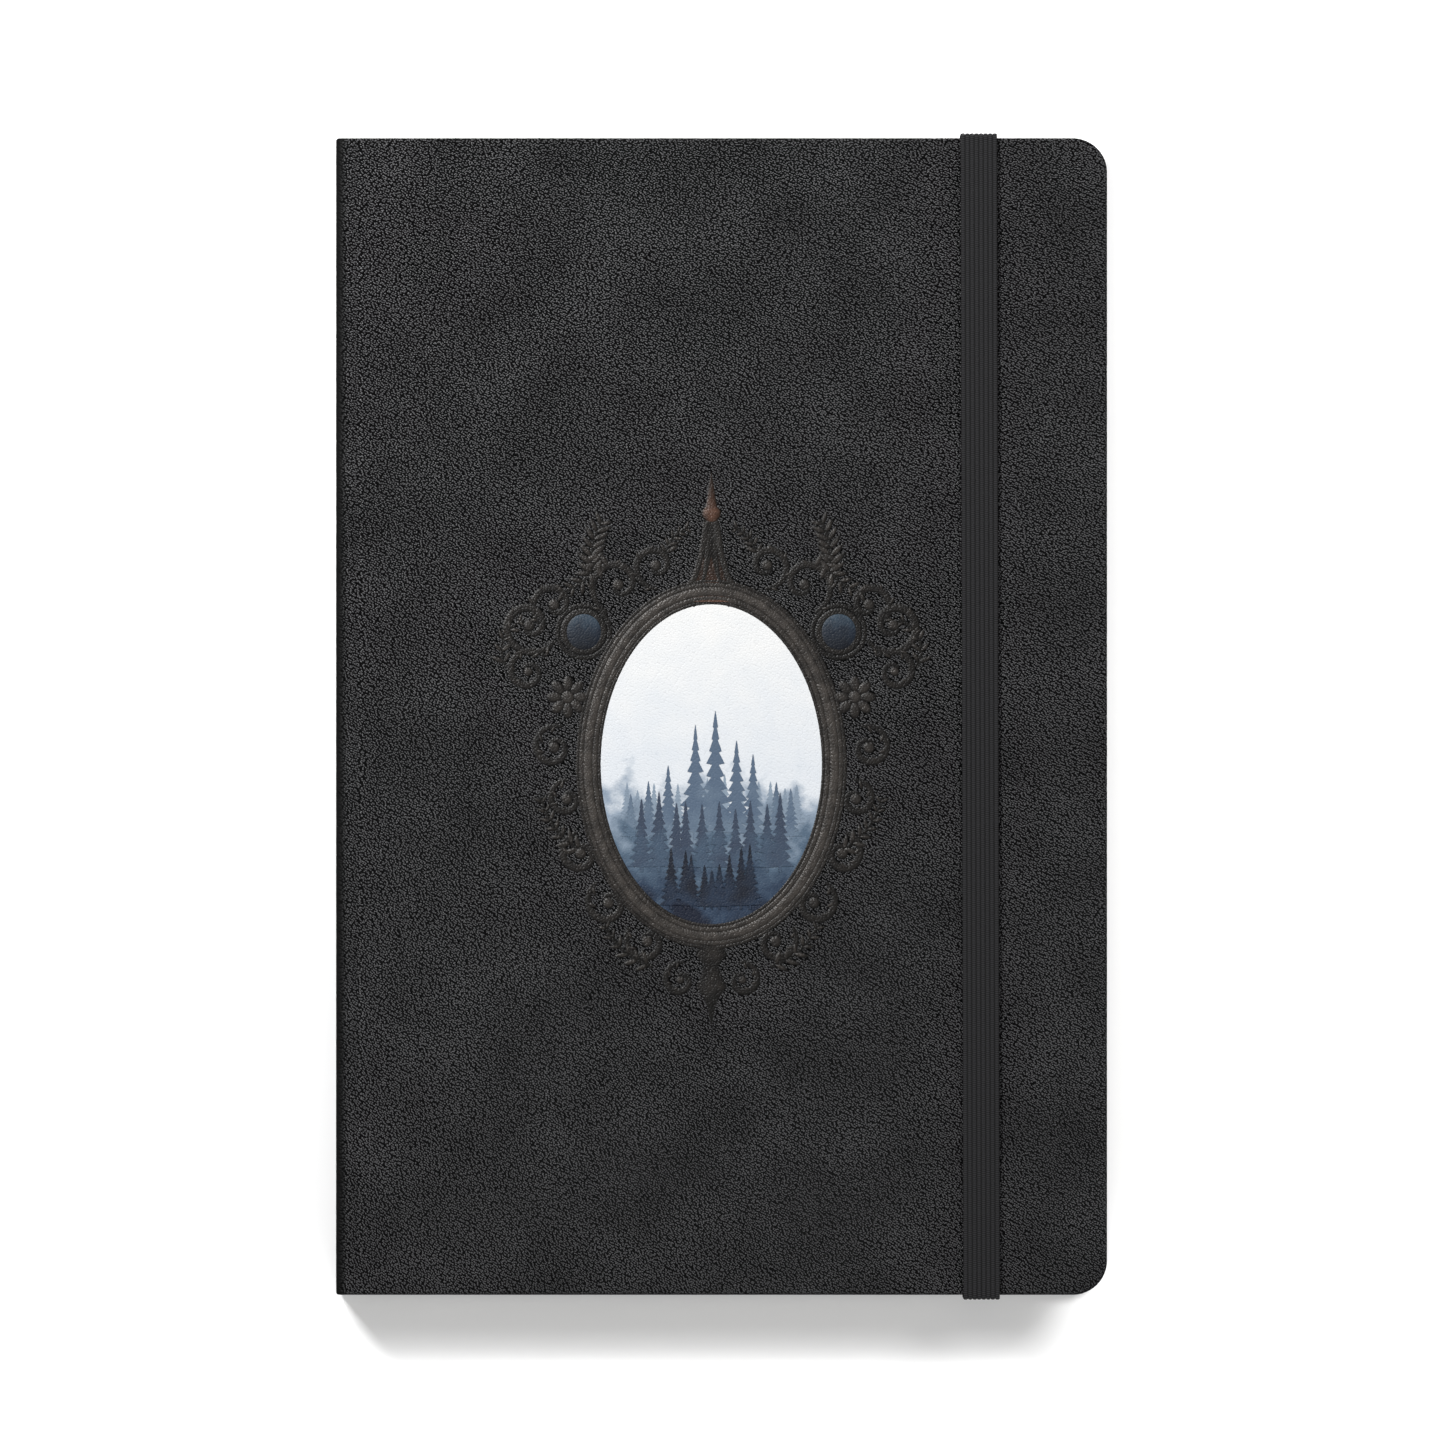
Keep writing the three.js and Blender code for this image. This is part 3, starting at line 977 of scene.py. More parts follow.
@dataclass
class CaseSkin:
    """The leatherette over boards, spine and hinges: one sheet on the real book, parted at its folds."""

    book: Book
    thickness: float = 0.33 * MM
    rim: float = 0.5 * MM
    rim_steps: int = 4
    inner_rim: float = 0.3 * MM
    rim_depth: float = 1.0 * MM
    wall: float = 2.4 * MM
    fore_corner: float = 6.4 * MM
    corner_steps: int = 12
    turn_in: float = 5.8 * MM
    plate_start: float = 5.2 * MM
    shoulder: float = 2.4 * MM
    spine_edge: float = 1.5 * MM
    spine_steps: int = 8
    spine_margin: float = 2.2 * MM
    crease_at: float = 4.15 * MM
    crease_reach: float = 1.05 * MM
    crease_depth: float = 0.16 * MM
    crease_steps: int = 16

    def build(self) -> None:
        """Make all the skin's parts, and hang the plates, the back crease skin and the spine skin on their
        bodies.
        """
        for side in Side:
            self.plate(side)
            self.crease(side)
            self.corner(side)
        self.spine()

    def plate(self, side: Side) -> None:
        """The skin over one board: a shallow tray, turned in round three inner edges.

        Args:
            side: Which cover it is on.
        """
        book, name = self.book, f"{side.name.lower()}_cover_skin"
        outer, inner = book.z(side, 0.0), book.z(side, self.wall)
        start = book.x(self.plate_start)
        low = (start, -book.head_y, min(outer, inner))
        high = (book.fore_x, book.head_y, max(outer, inner))
        bench = Bench.box(name, low, high)
        bench.delete(lambda at: abs(at.x - start) < CLOSE, "ONLY_FACE")
        bench.bevel_edges(
            lambda a, b: min(a.x, b.x) > start + CLOSE and abs(a.z - b.z) > CLOSE,
            self.fore_corner,
            self.corner_steps,
        )
        for level, width, steps in ((outer, self.rim, self.rim_steps), (inner, self.inner_rim, 2)):
            bench.bevel_edges(
                lambda a, b, level=level: abs(a.z - level) < CLOSE
                and abs(b.z - level) < CLOSE
                and max(a.x, b.x) > start + CLOSE,
                width,
                steps,
            )
        self.open_inside(bench, inner)
        bench.face_towards((0, 0, side.value)).thicken(self.thickness).smooth()
        piece = bench.dress(LEATHERETTE, "leatherette")
        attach(piece, "front_cover" if side is Side.FRONT else "back_half")
        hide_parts(f"{side.name.lower()}_covering")

    def open_inside(self, bench: Bench, inner: float) -> None:
        """Leave only the turned-in margin of the tray's inner face.

        Args:
            bench: The tray in hand.
            inner: Where its inner face lies along Z.
        """
        bench._edit(lambda at: abs(at.z - inner) < CLOSE)
        bpy.ops.mesh.inset(thickness=self.turn_in, use_boundary=False)
        bpy.ops.mesh.delete(type="FACE")
        bench._close()

    def edge_wire(self, name: str, x: float, z: float, inward: Vector) -> Bench:
        """The skin's section from head to tail, with its two folded ends, ready to be swept.

        Args:
            name: The piece's name.
            x: Where the section lies.
            z: Where the section lies.
            inward: The way from the skin's outer face into the book.

        Returns:
            The wire in hand.
        """
        head = self.book.head_y
        bench = Bench.wire(name, (x, -head, z), (x, head, z))
        for end in (-1, 1):
            tip = Vector((x, end * head, z))
            bench.sweep(lambda at, tip=tip: (at - tip).length < CLOSE, inward * self.rim_depth)
        return bench

    def dip(self, from_spine: float) -> float:
        """How deep the pressed crease is at a distance from the spine."""
        off = abs(from_spine - self.crease_at) / self.crease_reach
        return self.crease_depth * (1 + math.cos(math.pi * off)) / 2 if off < 1 else 0.0

    def crease(self, side: Side) -> None:
        """The skin between the shoulder and the board, with its faint pressed crease.

        Args:
            side: Which cover it is on.
        """
        book, way = self.book, side.value
        name = f"{side.name.lower()}_crease_skin"
        outer = book.z(side, 0.0)
        bench = self.edge_wire(name, book.x(self.shoulder), outer, Vector((0, 0, -way)))
        step = (self.plate_start - self.shoulder) / self.crease_steps
        for k in range(self.crease_steps):
            here = self.shoulder + k * step
            fall = self.dip(here + step) - self.dip(here)
            bench.sweep(lambda at, x=book.x(here): abs(at.x - x) < CLOSE, (step, 0, -way * fall))
        self.finish_strip(bench, side, lambda at: abs(at.z - outer) < self.crease_depth + CLOSE)
        piece = bench.piece
        if side is Side.FRONT:
            start, end = book.x(self.crease_at - self.crease_reach), book.x(self.plate_start)
            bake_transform(piece)
            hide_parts("front_hinge_strip")
        else:
            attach(piece, "back_half")

    def corner(self, side: Side) -> None:
        """The skin round one long edge of the spine.

        Args:
            side: Which cover it is on.
        """
        book, way = self.book, side.value
        name = f"{side.name.lower()}_corner_skin"
        outer = book.z(side, 0.0)
        start, turn = book.x(self.shoulder), book.x(self.spine_edge)
        centre = Vector((turn, 0, book.z(side, self.spine_edge)))
        bench = self.edge_wire(name, start, outer, Vector((0, 0, -way)))
        bench.sweep(lambda at: abs(at.x - start) < CLOSE, (turn - start, 0, 0))
        quarter = way * math.pi / 2
        bench.spin(lambda at: abs(at.x - turn) < CLOSE, quarter, centre, (0, -1, 0), self.spine_steps)
        bench.sweep(
            lambda at: abs(at.z - centre.z) < CLOSE and at.x < turn - CLOSE,
            (0, 0, way * (self.spine_edge - self.spine_margin)),
        )

        def on_skin(at: Vector) -> bool:
            """True on the outer face, and not on the folded ends.

            Args:
                at: The place.

            Returns:
                Whether it is on the outer face.
            """
            if at.x > turn - CLOSE:
                return abs(at.z - outer) < CLOSE
            if (at.z - centre.z) * way < 0:
                return abs(at.x - book.spine_x) < CLOSE
            return abs(math.hypot(at.x - centre.x, at.z - centre.z) - self.spine_edge) < 10 * CLOSE

        self.finish_strip(bench, side, on_skin)
        ends = [(start, 0, outer), (book.spine_x, 0, book.z(side, self.spine_margin))]
        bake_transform(bench.piece)

    def spine(self) -> None:
        """The skin down the flat of the spine."""
        book = self.book
        low, high = self.spine_margin, book.top_z - self.spine_margin
        bench = self.edge_wire("spine_skin", book.spine_x, low, Vector((1, 0, 0)))
        bench.sweep(lambda at: abs(at.z - low) < CLOSE, (0, 0, high - low))
        self.finish_strip(bench, None, lambda at: abs(at.x - book.spine_x) < CLOSE)
        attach(bench.piece, "spine")
        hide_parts("spine_covering")

    def finish_strip(self, bench: Bench, side: Side | None, on_skin: Test) -> None:
        """Round a strip's head and tail edges, and give it its thickness and finish.

        Args:
            bench: The strip in hand.
            side: Which cover it is on, or None on the spine.
            on_skin: True for places on its outer face.
        """
        head = self.book.head_y
        bench.face_out()
        bench.bevel_edges(
            lambda a, b: on_skin(a) and on_skin(b) and a.y * b.y > (head - CLOSE) ** 2,
            self.rim,
            self.rim_steps,
        )
        way = Vector((-1, 0, side.value if side else 0))
        bench.face_towards(way).thicken(self.thickness).smooth()
        bench.dress(LEATHERETTE, "leatherette")


@dataclass
class Leaves:
    """The sewn sections and the endpapers."""

    book: Book
    sections: int = 10
    leaves_each: int = 8
    leaf_share: float = 0.84
    corner: float = 4.5 * MM
    corner_steps: int = 8
    gutter: float = 12 * MM
    gutter_steps: int = 9
    trim: float = 0.05 * MM
    hinge_start: float = 1.9 * MM
    hinge_end: float = 5.4 * MM
    hinge_steps: int = 12
    draws: random.Random = field(default_factory=lambda: random.Random(7))

    def build(self) -> None:
        """Make the sections, the flyleaves and the endpapers' hinges."""
        for number in range(1, self.sections + 1):
            half = "back_half" if number <= self.sections // 2 else "front_leaves"
            node = f"section_{number:02d}"
            self.stack(f"leaves_{number:02d}", node, self.leaves_each, half, DRAWING_PAPER)
        self.stack("back_free_endpaper", "back_flyleaf", 1, "back_half", ENDPAPER)
        self.stack("front_free_endpaper", "front_flyleaf", 1, "front_leaves", ENDPAPER)
        for side in Side:
            self.endpaper_hinge(side)

    def stack(self, name: str, node: str, count: int, half: str, finish: Finish) -> None:
        """A gathering of leaves in the room of its CAD node.

        Args:
            name: The piece's name.
            node: The CAD node it stands for.
            count: How many leaves it holds.
            half: The half of the book it belongs to; both halves are treated alike.
            finish: Its paper.
        """
        low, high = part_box(node)
        pitch = (high.z - low.z) / count
        trim_x, trim_y = self.draws.uniform(-1, 1) * self.trim, self.draws.uniform(-1, 1) * self.trim
        fore, head = high.x + trim_x, high.y + trim_y
        bench = Bench.plane(name, (low.x, -head, low.z), (fore, head, low.z))
        bench.bevel_corners(lambda at: at.x > fore - CLOSE, self.corner, self.corner_steps)
        zone = self.book.x(self.gutter) - low.x
        for k in range(1, self.gutter_steps + 1):
            bench.bisect((low.x + zone * k / self.gutter_steps, 0, 0), (1, 0, 0))
        share = self.leaf_share if count > 1 else 1.0
        bench.face_towards((0, 0, 1)).thicken(pitch * share, offset=1.0)
        if count > 1:
            bench.modify(
                "ARRAY",
                count=count,
                use_relative_offset=False,
                use_constant_offset=True,
                constant_offset_displace=(0, 0, pitch),
            )
        piece = bench.smooth().dress(finish, "drawing_paper" if finish is DRAWING_PAPER else "endpaper")
        start, end = (self.book.x(self.gutter), 0, low.z), (low.x, 0, low.z)
        if half == "back_half":
            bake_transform(piece)
        else:
            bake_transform(piece)
        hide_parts(node)

    def endpaper_hinge(self, side: Side) -> None:
        """The endpaper's hinge, from the block's shoulder to the pastedown.

        Args:
            side: Which cover it is on.
        """
        low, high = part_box(f"{side.name.lower()}_pastedown")
        start, end = self.book.x(self.hinge_start), self.book.x(self.hinge_end)
        name = f"{side.name.lower()}_endpaper_hinge"
        bench = Bench.plane(name, (start, low.y, low.z), (end, high.y, low.z))
        for k in range(1, self.hinge_steps):
            bench.bisect((start + (end - start) * k / self.hinge_steps, 0, 0), (1, 0, 0))
        bench.face_towards((0, 0, 1)).thicken(high.z - low.z, offset=1.0).smooth()
        piece = bench.dress(ENDPAPER, "endpaper")
        if side is Side.FRONT:
            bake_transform(piece)
        else:
            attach(piece, "back_half")


@dataclass
class Headbands:
    """The striped beads over the head and tail of the leaves' spine."""

    radius: float = 0.62 * MM
    tape: float = 0.15 * MM
    tape_drop: float = 4.5 * MM
    steps: int = 40
    wrap: float = 0.06 * MM

    def build(self) -> None:
        """Make both beads, each with the tape that it is glued down by."""
        for node, end in (("head_band", 1), ("tail_band", -1)):
            self.band(node, end)

    def band(self, node: str, end: int) -> None:
        """One headband: a wrapped bead on a tape.

        Args:
            node: The CAD node it stands for.
            end: 1 at the head and -1 at the tail.
        """
        low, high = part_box(node)
        edge = high.y if end > 0 else low.y
        y = edge - end * self.radius
        x = low.x + self.radius
        heights = [low.z + (high.z - low.z) * k / self.steps for k in range(self.steps + 1)]
        route = [(x, y, z) for z in heights]
        widths = [self.radius - self.wrap * (k % 2) for k in range(self.steps + 1)]
        bead = Bench.stem(f"{node}_silk", route, widths, sides=3)
        near, far = sorted((y, y - end * self.tape_drop))
        tape = Bench.box("tape", (low.x, near, low.z), (low.x + self.tape, far, high.z))
        both = join(f"{node}_silk", (bead, tape)).face_out().smooth()
        piece = both.dress(HEADBAND, "headband")
        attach(piece, "spine")
        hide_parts(node)


@dataclass
class ElasticBand:
    """The ribbed elastic: its run over the front cover and the two ends round the head and tail."""

    book: Book
    ribs: int = 8
    steps_per_rib: int = 6
    rib_height: float = 0.2 * MM
    bend: float = 0.9 * MM
    bend_steps: int = 6
    drop: float = 0.75 * MM
    slant: float = BAND_SLANT
    thickness: float = 0.5 * MM
    kept: float = 0.157

    def build(self) -> None:
        """Make the face run and both end runs."""
        low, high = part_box("elastic_band")
        self.low, self.high = low, high
        self.rise = high.z - self.bend - self.drop
        self.face_run()
        for end in (1, -1):
            self.end_run(end)

    def rib_wire(self, name: str, y: float, z: float, out: Vector) -> Bench:
        """The band's ribbed section from edge to edge, ready to be swept.

        Args:
            name: The piece's name.
            y: Where the section lies.
            z: Where the ribs' valleys lie.
            out: The way that the ribs stand out.

        Returns:
            The wire in hand.
        """
        low, high = self.low, self.high
        bench = Bench.wire(name, (low.x, y, z), (high.x, y, z))
        bench._edit(lambda at: True)
        bpy.ops.mesh.subdivide(number_cuts=self.ribs * self.steps_per_rib - 1)
        bench._close()
        step = (high.x - low.x) / (self.ribs * self.steps_per_rib)
        for k in range(self.steps_per_rib):
            lift = self.rib_height * math.sqrt(math.sin(math.pi * k / self.steps_per_rib))
            if k:
                bench.move(
                    lambda at, k=k: round((at.x - low.x) / step) % self.steps_per_rib == k,
                    out * lift,
                )
        return bench

    def finish(self, bench: Bench, look: Vector, finish: Finish) -> bpy.types.Object:
        """Give a run its thickness, its slight slant and its finish.

        Args:
            bench: The run in hand.
            look: The way its ribs look.
            finish: Its finish.

        Returns:
            The finished object.
        """
        bench.face_towards(look).thicken(self.thickness, even=False)
        bench.turn(self.slant, "Z", ((self.low.x + self.high.x) / 2, 0, 0))
        piece = bench.smooth(50).dress(finish, "elastic")
        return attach(piece, "band")

    def face_run(self) -> None:
        """The run over the front cover, bent down over the head and tail edges."""
        top, edge = self.high.z - self.rib_height, self.high.y - self.rib_height
        reach = edge - self.bend
        bench = self.rib_wire("band_face_run", -reach, top, Vector((0, 0, 1)))
        bench.sweep(lambda at: True, (0, 2 * reach, 0))
        for end in (1, -1):
            centre = (0, end * reach, top - self.bend)
            bench.spin(
                lambda at, end=end: abs(at.y - end * reach) < CLOSE,
                math.pi / 2,
                centre,
                (-end, 0, 0),
                self.bend_steps,
            )
            level = top - self.bend
            bench.sweep(
                lambda at, end=end: abs(at.z - level) < CLOSE and at.y * end > reach,
                (0, 0, self.rise - level),
            )
        piece = self.finish(bench, Vector((0, 0, 1)), ELASTIC_ON_FACE)
        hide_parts("elastic_band")

    def end_run(self, end: int) -> None:
        """The run down the head or tail and in over the back cover.

        Args:
            end: 1 at the head and -1 at the tail.
        """
        _, tab_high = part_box("elastic_tab_head")
        edge = self.high.y - self.rib_height
        name = "band_head_run" if end > 0 else "band_tail_run"
        bench = self.rib_wire(name, end * edge, self.rise, Vector((0, end, 0)))
        turn_z = self.low.z + self.rib_height + self.bend
        bench.sweep(lambda at: True, (0, 0, turn_z - self.rise))
        centre = (0, end * (edge - self.bend), turn_z)
        bench.spin(lambda at: abs(at.z - turn_z) < CLOSE, math.pi / 2, centre, (-end, 0, 0), self.bend_steps)
        inner = end * (edge - self.bend)
        stop = end * (tab_high.y + self.rib_height)
        bench.sweep(lambda at: abs(at.y - inner) < CLOSE, (0, stop - inner, 0))
        piece = self.finish(bench, Vector((0, end, 0)), ELASTIC_ON_EDGE)
        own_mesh(piece)


def oval(radii: Sequence[float], centre_y: float, count: int) -> list[Point]:
    """Points round an oval whose centre lies on the print's middle line."""
    turns = [2 * math.pi * k / count for k in range(count)]
    return [(radii[0] * math.cos(a), centre_y + radii[1] * math.sin(a), 0.0) for a in turns]


def scroll(
    centre: Sequence[float], radii: Sequence[float], degrees: Sequence[float], steps: int = 26
) -> list[Point]:
    """Points along a spiral.

    Args:
        centre: Its middle in millimetres.
        radii: Its first and last radius in millimetres.
        degrees: Its first and last angle.
        steps: The number of steps along it.

    Returns:
        The points, in metres.
    """
    points = []
    for k in range(steps + 1):
        share = k / steps
        radius = radii[0] + (radii[1] - radii[0]) * share
        angle = math.radians(degrees[0] + (degrees[1] - degrees[0]) * share)
        x, y = centre[0] + radius * math.cos(angle), centre[1] + radius * math.sin(angle)
        points.append((x * MM, y * MM, 0.0))
    return points


@dataclass(frozen=True)
class Scroll:
    """One scroll of the frame's ornament, in millimetres from the print's middle line."""

    centre: tuple[float, float]
    radii: tuple[float, float]
    degrees: tuple[float, float]
    width: float = 0.9
    bud: float = 1.1


@dataclass(frozen=True)
class Sprig:
    """A curved row of leaves, in millimetres from the print's middle line."""

    centre: tuple[float, float]
    radii: tuple[float, float]
    degrees: tuple[float, float]
    leaves: int = 6
    length: float = 3.4
    width: float = 0.35


@dataclass(frozen=True)
class FirRow:
    """One row of trees in the mist, in millimetres; centre_height over edge_painted_shade gives its outline."""

    tone: Point
    foot: float
    centre_height: float
    edge_painted_shade: float
    count: int


@dataclass
class CoverPrint:
    """The picture printed in low relief on the front cover: an ornate frame round a misty wood."""

    book: Book
    middle: float = -1.9 * MM
    window_y: float = -8.9 * MM
    window: tuple[float, float] = (21.4 * MM, 30.6 * MM)
    film: float = 0.06 * MM
    tree_step: float = 0.002 * MM
    tree_film: float = 0.02 * MM
    row_step: float = 0.05 * MM
    flat: float = 0.16
    ring_centre: tuple[float, float] = (22.9 * MM, 32.1 * MM)
    ring_width: float = 2.25 * MM
    ring_points: int = 144
    ring_press: float = 0.5
    fillet_press: float = 1.5
    fillets: Rungs = ((-1.95, 0.3), (-1.15, 0.5), (0.15, 0.85), (1.35, 0.42), (2.1, 0.3))
    cabochon: tuple[float, float] = (23.8, 15.8)
    rosette: tuple[float, float] = (26.8, 3.6)
    petals: int = 8
    scrolls: tuple[Scroll, ...] = (
        Scroll((34.0, 17.0), (5.6, 1.0), (-150, 330), 0.8),
        Scroll((29.4, 20.9), (4.4, 1.0), (-60, 330), 0.7),
        Scroll((34.2, 8.4), (4.3, 0.9), (140, -320), 0.7, 0.9),
        Scroll((17.4, 24.6), (5.6, 1.0), (-70, 320), 0.75),
        Scroll((10.4, 28.2), (4.4, 0.9), (-95, 330), 0.7),
        Scroll((29.4, -5.8), (4.2, 0.9), (110, -330), 0.7),
        Scroll((27.0, -15.4), (3.6, 0.8), (95, -320), 0.65),
        Scroll((24.4, -25.6), (4.0, 0.9), (80, -330), 0.75),
        Scroll((19.2, -34.8), (4.4, 0.9), (60, -330), 0.75),
        Scroll((12.0, -42.0), (4.2, 0.9), (40, -330), 0.7),
        Scroll((5.8, -49.2), (3.4, 0.8), (100, -300), 0.65, 0.8),
    )
    sprigs: tuple[Sprig, ...] = (
        Sprig((9.6, 27.6), (12.4, 14.0), (-6, 40), 7),
        Sprig((30.0, 33.0), (9.6, 10.0), (190, 262), 6, 3.0),
        Sprig((33.4, 12.0), (5.6, 6.2), (-30, 76), 5, 2.4),
        Sprig((17.0, -13.0), (14.0, 15.0), (-60, -8), 7, 2.6),
        Sprig((6.0, -33.0), (14.6, 15.2), (-70, -22), 6, 2.6),
        Sprig((3.0, 29.0), (5.6, 6.4), (10, 80), 5, 2.2),
    )
    spire: tuple[tuple[float, float], ...] = (
        (21.4, 8.2), (22.4, 6.2), (24.0, 4.3), (26.5, 2.9), (30.0, 2.0), (34.0, 1.4), (37.0, 1.1),
    )
    spire_tip: tuple[tuple[float, float], ...] = (
        (36.4, 0.9), (37.4, 1.7), (38.4, 1.8), (39.2, 1.1), (40.5, 0.85), (43.0, 0.5), (45.5, 0.05),
    )
    pendant: tuple[tuple[float, float], ...] = (
        (-40.6, 4.4), (-42.5, 2.0), (-44.5, 3.0), (-46.5, 1.3), (-48.5, 2.0), (-50.5, 2.9), (-52.5, 1.5),
        (-54.0, 0.8), (-57.6, 0.08),
    )
    spire_ribs: Rungs = ((8.4, 20.6), (5.2, 23.0), (3.1, 26.0), (1.9, 30.0), (0.9, 36.5))
    sky: tuple[tuple[float, Point], ...] = (
        (0.0, (0.0050, 0.0075, 0.016)),
        (0.10, (0.016, 0.028, 0.050)),
        (0.24, (0.052, 0.080, 0.115)),
        (0.36, (0.17, 0.21, 0.26)),
        (0.46, (0.42, 0.44, 0.465)),
        (1.0, (0.50, 0.50, 0.495)),
    )
    rows: tuple[FirRow, ...] = (
        FirRow((0.15, 0.19, 0.235), -20.5, 10.0, 8.0, 13),
        FirRow((0.055, 0.080, 0.118), -23.0, 30.0, 9.0, 9),
        FirRow((0.024, 0.034, 0.055), -29.0, 13.0, 15.0, 10),
        FirRow((0.006, 0.008, 0.014), -36.0, 7.0, 13.0, 9),
    )
    draws: random.Random = field(default_factory=lambda: random.Random(23))

    def build(self) -> None:
        """Make the window with its wood, the moulded ring and its ornament."""
        relief = self.ring_width * self.flat
        self.pewter = AgedMetalInk(
            "pewter ink", (0.0028, 0.0025, 0.0023), (0.040, 0.035, 0.031), self.book.top_z, relief
        )
        self.copper = AgedMetalInk(
            "copper ink", (0.008, 0.0045, 0.003), (0.105, 0.052, 0.034), self.book.top_z, relief
        )
        self.picture()
        self.ring()
        self.finials()
        self.stones()
        self.flourishes()

    def finish(
        self, bench: Bench, ink: Finish, slot: str = "print_dark", lift: float = 0.0
    ) -> bpy.types.Object:
        """Set a piece down on the cover, and give it its ink.

        Args:
            bench: The piece in hand, in the print's own place.
            ink: Its ink.
            slot: The record's material slot.
            lift: How far above the cover its lowest face lies.

        Returns:
            The finished object.
        """
        bench.place((self.middle, 0, self.book.top_z + lift)).smooth(50)
        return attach(bench.dress(ink, slot), "front_cover")

    def film_of(self, bench: Bench, thickness: float) -> Bench:
        """Give a flat shape the thickness of a layer of ink."""
        return bench.face_towards((0, 0, 1)).thicken(thickness, offset=1.0)

    def window_ink(self, name: str, stops: tuple[tuple[float, Point], ...]) -> PrintedGradient:
        """Ink whose ramp runs from the window's foot to its top."""
        return PrintedGradient(name, self.window_y - self.window[1], self.window_y + self.window[1], stops)

    def mist_to(self, row: FirRow) -> tuple[tuple[float, Point], ...]:
        """A row's ramp: the mist's own tones up to its foot, then the trees' tone.

        Args:
            row: The row of trees.

        Returns:
            The places on the ramp with their tones.
        """
        share = (row.foot * MM - self.window_y + self.window[1]) / (2 * self.window[1])
        below = [stop for stop in self.sky if stop[0] < share]
        above = next(stop for stop in self.sky if stop[0] >= share)
        part = (share - below[-1][0]) / (above[0] - below[-1][0])
        foot_tone = tuple(a + (b - a) * part for a, b in zip(below[-1][1], above[1]))
        return (below[-1], (share, foot_tone), (min(share + 0.14, 1.0), row.tone), (1.0, row.tone))

    def picture(self) -> None:
        """The pale oval that deepens to dusk at its foot, and rows of fir trees in its mist."""
        sky = Bench.disc("window_print", self.window, 96).place((0, self.window_y, 0))
        pale = self.window_ink("pale ink", self.sky)
        piece = self.finish(self.film_of(sky, self.film), pale, "print_pale")
        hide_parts("cover_print_window")
        for number, row in enumerate(self.rows, 1):
            trees = []
            reach = self.half_width(row.foot * MM) - 2.0 * MM
            for k in range(row.count):
                share = (k + 0.5 + self.draws.uniform(-0.3, 0.3)) / row.count * 2 - 1
                tall = row.edge_painted_shade + (row.centre_height - row.edge_painted_shade) * (1 - abs(share)) ** 1.6
                tree = self.fir(reach * share, row.foot * MM, tall * MM * self.draws.uniform(0.8, 1.0))
                trees.append(tree.place((0, 0, k * self.tree_step)))
            ink = self.window_ink(f"wood ink {number}", self.mist_to(row))
            bench = self.film_of(join(f"wood_print_{number}", trees), self.tree_film)
            self.finish(bench, ink, "print_dark", self.film + (number - 1) * self.row_step)

    def half_width(self, y: float) -> float:
        """Half the window's width at a height on the cover."""
        share = (y - self.window_y) / self.window[1]
        return self.window[0] * math.sqrt(max(1 - share * share, 0.0))

    def fir(self, x: float, foot: float, height: float) -> Bench:
        """One fir: a trunk, then tiers of boughs that each spread and narrow again.

        Args:
            x: Where it stands.
            foot: Where its foot is.
            height: How tall it is.

        Returns:
            The fir in hand.
        """
        spread, tiers = 0.6 * MM + height * 0.13, 9
        rows = [(0.0, 0.02 * height), (0.07, 0.02 * height)]
        for k in range(tiers):
            share = 0.075 + 0.92 * (k / tiers) ** 0.92
            wide = spread * (1 - k / tiers) ** 1.15 * self.draws.uniform(0.8, 1.12) + 0.15 * MM
            rows += [(share, wide), (share + 0.8 / tiers, wide * 0.38)]
        rows.append((1.03, 0.02 * MM))
        bench = Bench.wire("fir", (x - rows[0][1], foot, 0), (x + rows[0][1], foot, 0))
        for (_, width), (share, wide) in zip(rows, rows[1:]):
            level = max(corner.co.y for corner in bench.piece.data.vertices)
            top = foot + share * height
            bench.sweep(lambda at, level=level: at.y > level - CLOSE, (0, max(top - level, 2 * CLOSE), 0))
            level = max(corner.co.y for corner in bench.piece.data.vertices)
            bench.resize((wide / width, 1, 1), (x, level, 0), lambda at, level=level: at.y > level - CLOSE)
        return bench

    def ridge(
        self, name: str, route: Sequence[Point], widths: Sequence[float], closed: bool = False
    ) -> Bench:
        """A stem pressed flat on the cover, with only its upper half left.

        Args:
            name: The piece's name.
            route: Its centreline.
            widths: Its half width at each point.
            closed: Join its two ends.

        Returns:
            The stem in hand.
        """
        bench = Bench.stem(name, route, widths, 3, closed)
        bench.resize((1, 1, self.flat), (0, 0, 0))
        return bench.bisect((0, 0, 0), (0, 0, -1), clear_outer=True)

    def ring(self) -> None:
        """The moulded oval ring: fine fillets on a low swell."""
        around = self.ring_points
        parts = []
        for extra, width in ((0.0, self.ring_width / MM), *self.fillets):
            radii = (self.ring_centre[0] + extra * MM, self.ring_centre[1] + extra * MM)
            band = self.ridge("oval_ring", oval(radii, self.window_y, around), [width * MM] * around, True)
            if extra:
                swell = math.sqrt(max(1 - (extra * MM / self.ring_width) ** 2, 0.05))
                lift = swell * self.ring_width * self.flat * self.ring_press
                band.resize((1, 1, self.fillet_press), (0, 0, 0)).place((0, 0, lift))
            else:
                band.resize((1, 1, self.ring_press), (0, 0, 0))
            parts.append(band)
        piece = self.finish(join("oval_ring", parts), self.pewter)
        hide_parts("cover_print_frame")

